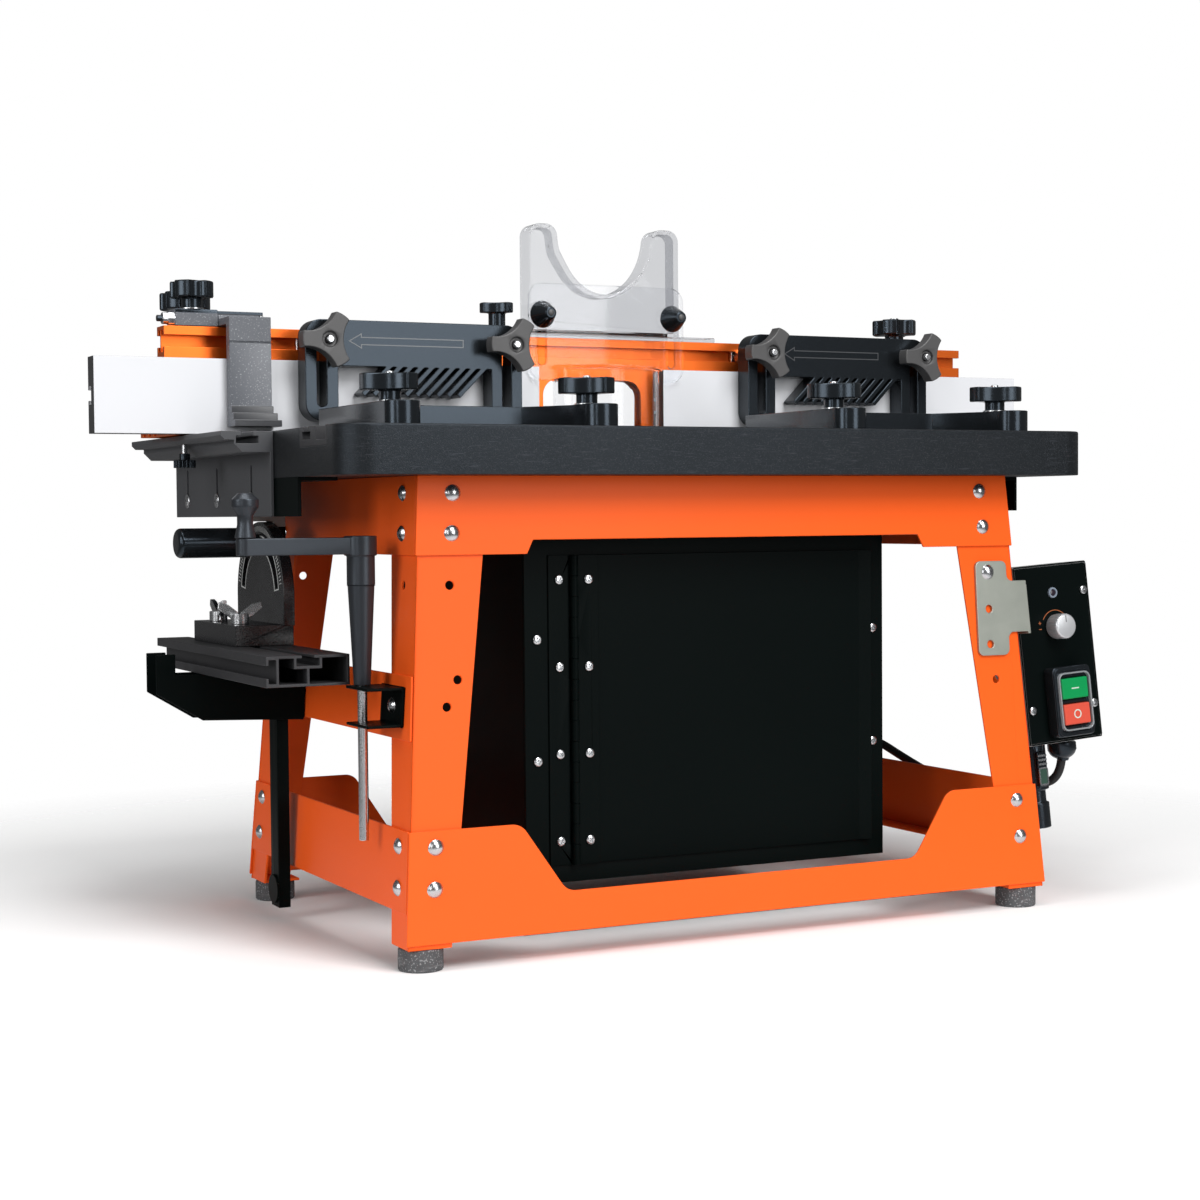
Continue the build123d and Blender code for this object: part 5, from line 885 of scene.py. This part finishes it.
class LIFT_OT_router_table(bpy.types.Operator):
    """Router lift and motor inside the cabinet"""

    bl_idname = "router_table.lift"
    bl_label = "Lift and motor"

    def execute(self, context):
        dress("lift_frame", 0.8)
        dress("lift_carriage", 1.0)
        screw_y, screw_radius, pitch, half_depth, low, high = 5, 6, 4, 0.075, 98.6, 330.4
        shank_least, rings = 200, 348

        def thread(work):
            shank = [edge for edge in work.edges if edge.calc_length() > shank_least * MM]
            bmesh.ops.subdivide_edges(work, edges=shank, cuts=rings, use_grid_fill=True)
            for corner in work.verts:
                x, y, z = corner.co.x / MM, corner.co.y / MM - screw_y, corner.co.z / MM
                if low < z < high and abs(math.hypot(x, y) - screw_radius) < 0.2:
                    turn = 2 * math.pi * z / pitch - math.atan2(y, x)
                    shrink = 1 - half_depth * (1 - math.cos(turn))
                    corner.co.x, corner.co.y = x * shrink * MM, (screw_y + y * shrink) * MM

        dress("lift_screw", 0, reshape=thread)
        dress("motor_housing", 0.8)
        dress("motor_spindle", 0.4)
        fin = softened(plain_mesh(prism(rounded_box(34, 3.2, 1.2, 3), -0.6, 0.7), "fin"), 0.4, 2)
        seats = []
        housing_y, housing_radius = 66, 41.5
        for way in around(1, range(0, 360, 15)):
            x, y = housing_radius * way[0], housing_y + housing_radius * way[1]
            seats += [((x, y, z), (*way, 0), UP) for z in (150, 278)]
        mesh = repeat("motor_fins", fin, seats, finish("dark_steel"))
        piece("motor_fins", mesh, "lift", SLOT_OF["motor_housing"], None)
        return {"FINISHED"}


class SWITCH_OT_router_table(bpy.types.Operator):
    """Switch box with its speed dial, push buttons, lamp, gland and coupling"""

    bl_idname = "router_table.switch"
    bl_label = "Switch box"

    def execute(self, context):
        origin = Vector((310.06, -149.09, 200.58))
        out, across = Vector((0.0, -0.99735, 0.07276)), Vector((0.99788, 0.00473, 0.06487))
        face = facing(origin, out, across)
        # places on the panel, in millimetres from its middle
        dial, lamp, start, stop, switch = 21.5, 49.3, -29.3, -50.3, (2.0, -39.8)
        raised = 0.05

        def on_face(name, work, body, node, material, edge=0.0):
            work.transform(face)
            mesh = plain_mesh(work, name)
            piece(name, softened(mesh, edge, 2) if edge else mesh, body, SLOT_OF[node], material)

        def panel(p, n, size, middle):
            return 2 if (p - origin).dot(out) > raised else box(p, n, size, middle)

        # Faces looking out of the panel take the box's own black steel; the sides and top, seen at a slant, take a grey
        # that is a painted reflection.
        def box(p, n, size, middle):
            return 0 if n.dot(out) > FACES else 1

        # A grey for the slanted sides and top: a painted reflection, not the steel's own colour.
        rim = mark_paint("grey panel rim", (0.30, 0.31, 0.31))
        dress("control_box", 1.2, 3, [finish(SLOT_OF["control_box"]), rim], box)
        ring = mark_paint("pale lamp ring", (0.20, 0.24, 0.30))
        dress("control_panel", 0.4, 2, [finish(SLOT_OF["control_panel"]), rim, ring], panel)
        silver = finish("dial")
        dress("speed_knob", 0.6, 2, silver)
        ribs = []
        knob_radius, rib_height, rib_count = 10, 7.4, 28
        for x, y in around(1, [360 * i / rib_count for i in range(rib_count)]):
            foot = face @ Vector((knob_radius * x * MM, (dial + knob_radius * y) * MM, rib_height * MM))
            ribs.append((foot / MM, face.to_3x3() @ Vector((x, y, 0)), out))
        rib = softened(plain_mesh(prism(rounded_box(11, 1.0, 0.45, 2), -0.3, 0.25), "dial_rib"), 0.2, 1)
        mesh = repeat("speed_knob_ribs", rib, ribs, silver)
        piece("speed_knob_ribs", mesh, "speed_knob", SLOT_OF["speed_knob"], None)
        marks = band(around(13.5, range(27, 152, 4), (0.0, dial)), 0.5, PRINT_LOW, PRINT_HIGH, False)
        signs = -15.6
        for y in (25.5, 20.5):
            band([(signs - 1.3, y), (signs + 1.3, y)], 0.5, PRINT_LOW, PRINT_HIGH, False, marks)
        band([(signs, 24.2), (signs, 26.8)], 0.5, PRINT_LOW, PRINT_HIGH, False, marks)
        on_face("speed_scale", marks, "stand", "control_panel", mark_paint("orange dial mark", (0.45, 0.12, 0.03)))
        line = band([(0.0, dial + 3.2), (0.0, dial + 8.6)], 0.7, 14.2, 14.45, False)
        on_face("speed_knob_mark", line, "speed_knob", "speed_knob", mark_paint("dark dial line", (0.05, 0.05, 0.05)))
        lens = lathe([(0, 0.1), (2.7, 0.1), (2.7, 0.7), (1.8, 1.1), (0, 1.25)], 24)
        lens.transform(Matrix.Translation((0, lamp * MM, 0)))
        on_face("lamp_lens", lens, "stand", "control_panel", finish("lamp"))
        dress("switch_body", 1.0, 3)
        for name, width, height, wall, top, look in (
            ("switch_bezel", 34.0, 53.0, 3.0, 13.0, finish(SLOT_OF["switch_body"])),
            ("switch_cover_rim", 30.5, 46.0, 1.3, 15.6, finish("switch_rim")),
        ):
            path = [(x + switch[0], y + switch[1]) for x, y in rounded_box(width, height, 5)]
            on_face(name, band(path, wall, 11.9, top), "stand", "switch_body", look, 0.4)
        white = mark_paint("pale button print", (0.55, 0.62, 0.55))
        print_low, print_high = 14.98, 15.1
        bar = band([(switch[0] - 3.7, start), (switch[0] + 3.7, start)], 1.0, print_low, print_high, False)
        loop = band(around(3.2, [11.25 * i for i in range(32)], (switch[0], stop)), 1.0, print_low, print_high)
        for node, mark in (("start_button", bar), ("stop_button", loop)):
            dress(node, 1.2, 3)
            on_face(node + "_mark", mark, node, node, white)
        dress("box_bracket")
        collar = [(0, 0), (8.8, 0), (8.8, 2.6), (11.0, 3.0), (11.9, 3.8), (11.9, 9.5)]
        dome = [(11.6 * x, 8.5 + 9.0 * y) for x, y in around(1, range(15, 64, 8))]
        gland = lathe([*collar, *dome, (4.4, 18.6), (0, 18.6)], 36)
        place, slot = face @ facing((18, -73, -30), FRONT, RIGHT), SLOT_OF["cable_gland"]
        shaped("cable_gland_dome", gland, place, "stand", slot, finish(slot), "cable_gland")
        dress("inlet_coupling", 1.0, 3)
        inlet, latch, window = -16.0, -14.0, -100.0
        bright = bmesh.new()
        for v in (-83.0, -86.5, -90.0):
            strip = [(inlet + x, v + y) for x, y in rounded_box(8.8, 1.7, 0.5, 2)]
            prism(strip, latch - 0.2, latch + 0.6, bright)
        frame_line = [(inlet + x, window + y) for x, y in rounded_box(8.0, 13.5, 1.5)]
        band(frame_line, 1.3, latch - 0.2, latch + 0.6, True, bright)
        on_face("coupling_latch", bright, "stand", "inlet_coupling", finish("bolt_head"))
        green = mark_paint("dark green latch", (0.012, 0.055, 0.035))
        plate = [(inlet + x, window + y) for x, y in rounded_box(7.4, 12.9, 1.2)]
        on_face("coupling_latch_plate", prism(plate, latch - 0.2, latch + 0.3), "stand", "inlet_coupling", green)
        return {"FINISHED"}


class FENCE_OT_router_table(bpy.types.Operator):
    """Fence beam, its faces, its lock knobs and the rails it slides on"""

    bl_idname = "router_table.fence"
    bl_label = "Fence"

    def execute(self, context):
        dress("fence_beam", 0.35)
        core = finish("board_edge")
        for node in ("fence_face_left", "fence_face_right"):
            dress(node, 0.4, 2, [finish("white_laminate"), core], lambda p, n, s, m: 0 if n.y < -FACES else 1)
        for node in ("fence_lock_left", "fence_lock_right"):
            dress(node, 1.6, 3)
        rail_height, bracket_height, knob_top = 40, 20, 366.2

        def rail(p, n, size, middle):
            if size[2] > bracket_height:
                return 0 if size[2] > rail_height else 3
            return 2 if p.z > knob_top else 1

        finishes = [finish("fence_rail"), finish("black_plastic"), finish("zinc_steel"), finish("black_steel")]
        dress("side_rails", 0.4, 2, finishes, rail)
        return {"FINISHED"}


class GUARD_OT_router_table(bpy.types.Operator):
    """Clear guard with its knobs"""

    bl_idname = "router_table.guard"
    bl_label = "Guard"

    def execute(self, context):
        dress("guard_back", 1.0, 3, clear_finish("clear tray plastic", (0.655, 0.663, 0.683)))
        dress("guard_shield", 1.0, 3)
        dress("guard_knobs", 1.0, 3)
        for side, x in (("left", -57.4), ("right", 63.4)):
            tip = lathe([(0, 0.0), (2.6, 0.0), (2.6, 0.7), (1.8, 1.2), (0, 1.3)], 24)
            place = facing((x, 37.3, 481), FRONT, RIGHT)
            # The screw tips share the knobs' lighter grey, a painted sheen.
            shaped(f"guard_screw_{side}", tip, place, "fence", "black_plastic", finish("clamp_knob"))
        return {"FINISHED"}


class BOARDS_OT_router_table(bpy.types.Operator):
    """Featherboards on the fence and the table with their clamps"""

    bl_idname = "router_table.boards"
    bl_label = "Featherboards"

    def execute(self, context):
        for node in ("fence_board_left", "fence_board_right", "table_board_left", "table_board_right"):
            dress(node, 0.7)
        rim, board_top = around(4.55, [7.5 * i for i in range(48)]), 398.35
        # The fence knobs take the lighter grey as a painted sheen; the same knobs on the table stay black.
        fence = ("fence", (21.4, 452.8), FRONT, "clamp_knob")
        table = ("table", (-105, 418.6), UP, "black_plastic")
        knob_most, knob_least = 50, 17

        def clamp(p, n, size, middle):
            return 0 if max(size) < knob_most and min(size) > knob_least else 1

        for (where, line, out, knob), side, xs in (
            (fence, "left", (-252.65, -95.3)),
            (fence, "right", (144.3, 301.6)),
            (table, "left", (-253.65, -96.3)),
            (table, "right", (122.3, 279.6)),
        ):
            node = f"{where}_clamps_{side}"
            cutter = bmesh.new()
            for x in xs:
                ring = plain_mesh(band(rim, 2.9, -2.4, 1.0), "recess")
                ring.transform(facing((x, *line), out, RIGHT))
                cutter.from_mesh(ring)
            dress(node, 1.0, 3, [finish(knob), finish("zinc_steel")], clamp, cutter)
            if where == "table":
                seats = [((x, line[0], board_top), out, RIGHT) for x in xs]
                disc = plain_mesh(washer(9.5, 0.3, 1.3, 32), "washer")
                mesh = repeat(node + "_washers", disc, seats, finish("zinc_steel"))
                piece(node + "_washers", mesh, node, "zinc_steel", None)
        # The arrow is a moulded ridge on the black board; its pale line on the left board and dim line on the right are
        # a painted highlight.
        pale = mark_paint("pale moulded line", (0.20, 0.21, 0.22))
        dim = mark_paint("dim moulded line", (0.05, 0.053, 0.058))
        point, barb, tail = -229.8, -220, -133.6
        arrow = [(point, 0), (barb, 5.7), (barb, 3), (tail, 3), (tail, -2.7), (barb, -2.7), (barb, -5.4)]
        for side, shift, line in (("left", 0, pale), ("right", 397, dim)):
            work = band(arrow, 0.8, PRINT_LOW, PRINT_HIGH)
            place = facing((shift, 41.7, 453.5), FRONT, RIGHT)
            shaped(f"fence_arrow_{side}", work, place, f"fence_board_{side}", "black_plastic", line)
        return {"FINISHED"}


class STOP_OT_router_table(bpy.types.Operator):
    """Flip stop on the fence"""

    bl_idname = "router_table.flip_stop"
    bl_label = "Flip stop"

    def execute(self, context):
        # The lighter grey is a painted sheen on the faces that take it; the dark grey and black are the flip stop's own
        # colours.
        grey = finish("stop_casting")
        nut_cap, nut, bolt_tip, body_back, body_top, step_front = -367.3, -357.8, -290.2, 88.2, 474.7, 50.8

        def base(p, n, size, middle):
            if p.x < nut_cap:
                return 1
            if p.x < nut or (p.x > bolt_tip and p.y < body_back):
                return 2
            return 1 if p.y > body_back or p.z > body_top else 0

        dress("flip_stop_base", 0.5, 2, [grey, finish("black_plastic"), finish("zinc_steel")], base)
        # Front and side faces take the lighter grey, a painted sheen; the steps in front and the faces looking up take
        # the dark grey.
        finishes, upward = [grey, finish("stop_steps")], 0.8
        dress("flip_stop_arm", 0.5, 2, finishes, lambda p, n, s, m: 1 if p.y < step_front or n.z > upward else 0)
        dress("flip_stop_knob", 1.4, 3)
        place = Matrix.Translation(Vector((-342.4, 86, 477.65)) * MM)
        disc = washer(9.5, 0.3, 1.1, 32)
        shaped("flip_stop_washer", disc, place, "flip_stop", "zinc_steel", finish("zinc_steel"))
        return {"FINISHED"}


class GAUGE_OT_router_table(bpy.types.Operator):
    """Mitre gauge stored on the side"""

    bl_idname = "router_table.mitre_gauge"
    bl_label = "Mitre gauge"

    def execute(self, context):
        grey = finish("gauge_pointer")
        pointer_z, nut_height, nut_turn = 305, 20, 80
        scale_x, pivot_y, pivot_z = -296.0, 71, 255

        def head(p, n, size, middle):
            if middle[2] > pointer_z:
                return 2
            return 1 if size[2] < nut_height else 0

        def turn_nut(work):
            for solid in loose_solids(work):
                corners = corners_of(solid)
                low, high = corners.min(0), corners.max(0)
                if high[2] - low[2] < nut_height and high[1] < pivot_y:
                    spin = Matrix.Rotation(math.radians(nut_turn), 3, "Z")
                    corners = list({v for f in solid for v in f.verts})
                    bmesh.ops.rotate(work, cent=Vector((low + high) / 2) * MM, matrix=spin, verts=corners)

        dress("mitre_head", 0.6, 2, [finish("gauge_head"), finish("zinc_steel"), grey], head, reshape=turn_nut)
        dress("mitre_fence", 0.4)
        dress("mitre_bar", 0.5, 2, finish("black_steel"))
        dress("mitre_handle", 1.5, 4)
        white = mark_paint("white scale", (0.72, 0.73, 0.72))
        long, wide, dial = 2.2, 0.28, 52.5
        outline = [(-long, -wide), (long, -wide), (long, wide), (-long, wide)]
        tick = plain_mesh(prism(outline, -0.05, 0.1), "scale_tick")
        seats = []
        for x, y in around(1, range(12, 169, 3)):
            seats.append(((scale_x, pivot_y - dial * x, pivot_z + dial * y), (-1, 0, 0), (0.0, -x, y)))
        piece("mitre_scale", repeat("mitre_scale", tick, seats, white), "mitre_gauge", SLOT_OF["mitre_head"], None)
        turns = [8 + 4.1 * i for i in range(41)]
        border = band(around(47.0, turns) + around(37.0, turns[::-1]), 0.9, PRINT_LOW, PRINT_HIGH)
        place = facing((scale_x, pivot_y, pivot_z), (-1, 0, 0), FRONT)
        shaped("mitre_slot_border", border, place, "mitre_gauge", SLOT_OF["mitre_head"], white)
        return {"FINISHED"}


class CRANK_OT_router_table(bpy.types.Operator):
    """Holder on the left side and the stored height crank"""

    bl_idname = "router_table.crank"
    bl_label = "Holder and crank"

    def execute(self, context):
        dress("accessory_brackets", 0.6)
        rod_top = 198
        finishes = [finish(SLOT_OF["crank"]), finish("zinc_steel")]
        dress("crank", 0.8, 3, finishes, lambda p, n, s, m: 1 if p.z < rod_top else 0)
        dress("crank_knob", 0.8, 3)
        return {"FINISHED"}


class VIEW3D_PT_router_table(bpy.types.Panel):
    """Lists the steps that dress the router table"""

    bl_label = "Router Table"
    bl_idname = "VIEW3D_PT_router_table"
    bl_space_type = "VIEW_3D"
    bl_region_type = "UI"
    bl_category = "Router Table"

    def draw(self, context):
        for step in STEPS:
            self.layout.operator(step.bl_idname)
        for group in (context.scene.router_table_colours, context.scene.router_table_sizes):
            for key in group.__annotations__:
                self.layout.prop(group, key)


STEPS = (
    STAGE_OT_router_table,
    LEAD_OT_router_table,
    STAND_OT_router_table,
    FASTENERS_OT_router_table,
    TOP_OT_router_table,
    CABINET_OT_router_table,
    LIFT_OT_router_table,
    SWITCH_OT_router_table,
    FENCE_OT_router_table,
    GUARD_OT_router_table,
    BOARDS_OT_router_table,
    STOP_OT_router_table,
    GAUGE_OT_router_table,
    CRANK_OT_router_table,
)
CLASSES = (RouterTableColours, RouterTableSizes, *STEPS, VIEW3D_PT_router_table)


def register():
    for one in CLASSES:
        bpy.utils.register_class(one)
    bpy.types.Scene.router_table_colours = bpy.props.PointerProperty(type=RouterTableColours)
    bpy.types.Scene.router_table_sizes = bpy.props.PointerProperty(type=RouterTableSizes)


def unregister():
    del bpy.types.Scene.router_table_sizes
    del bpy.types.Scene.router_table_colours
    for one in reversed(CLASSES):
        bpy.utils.unregister_class(one)


def main():
    register()
    for step in STEPS:
        group, name = step.bl_idname.split(".")
        getattr(getattr(bpy.ops, group), name)()


if __name__ == "__main__":
    main()
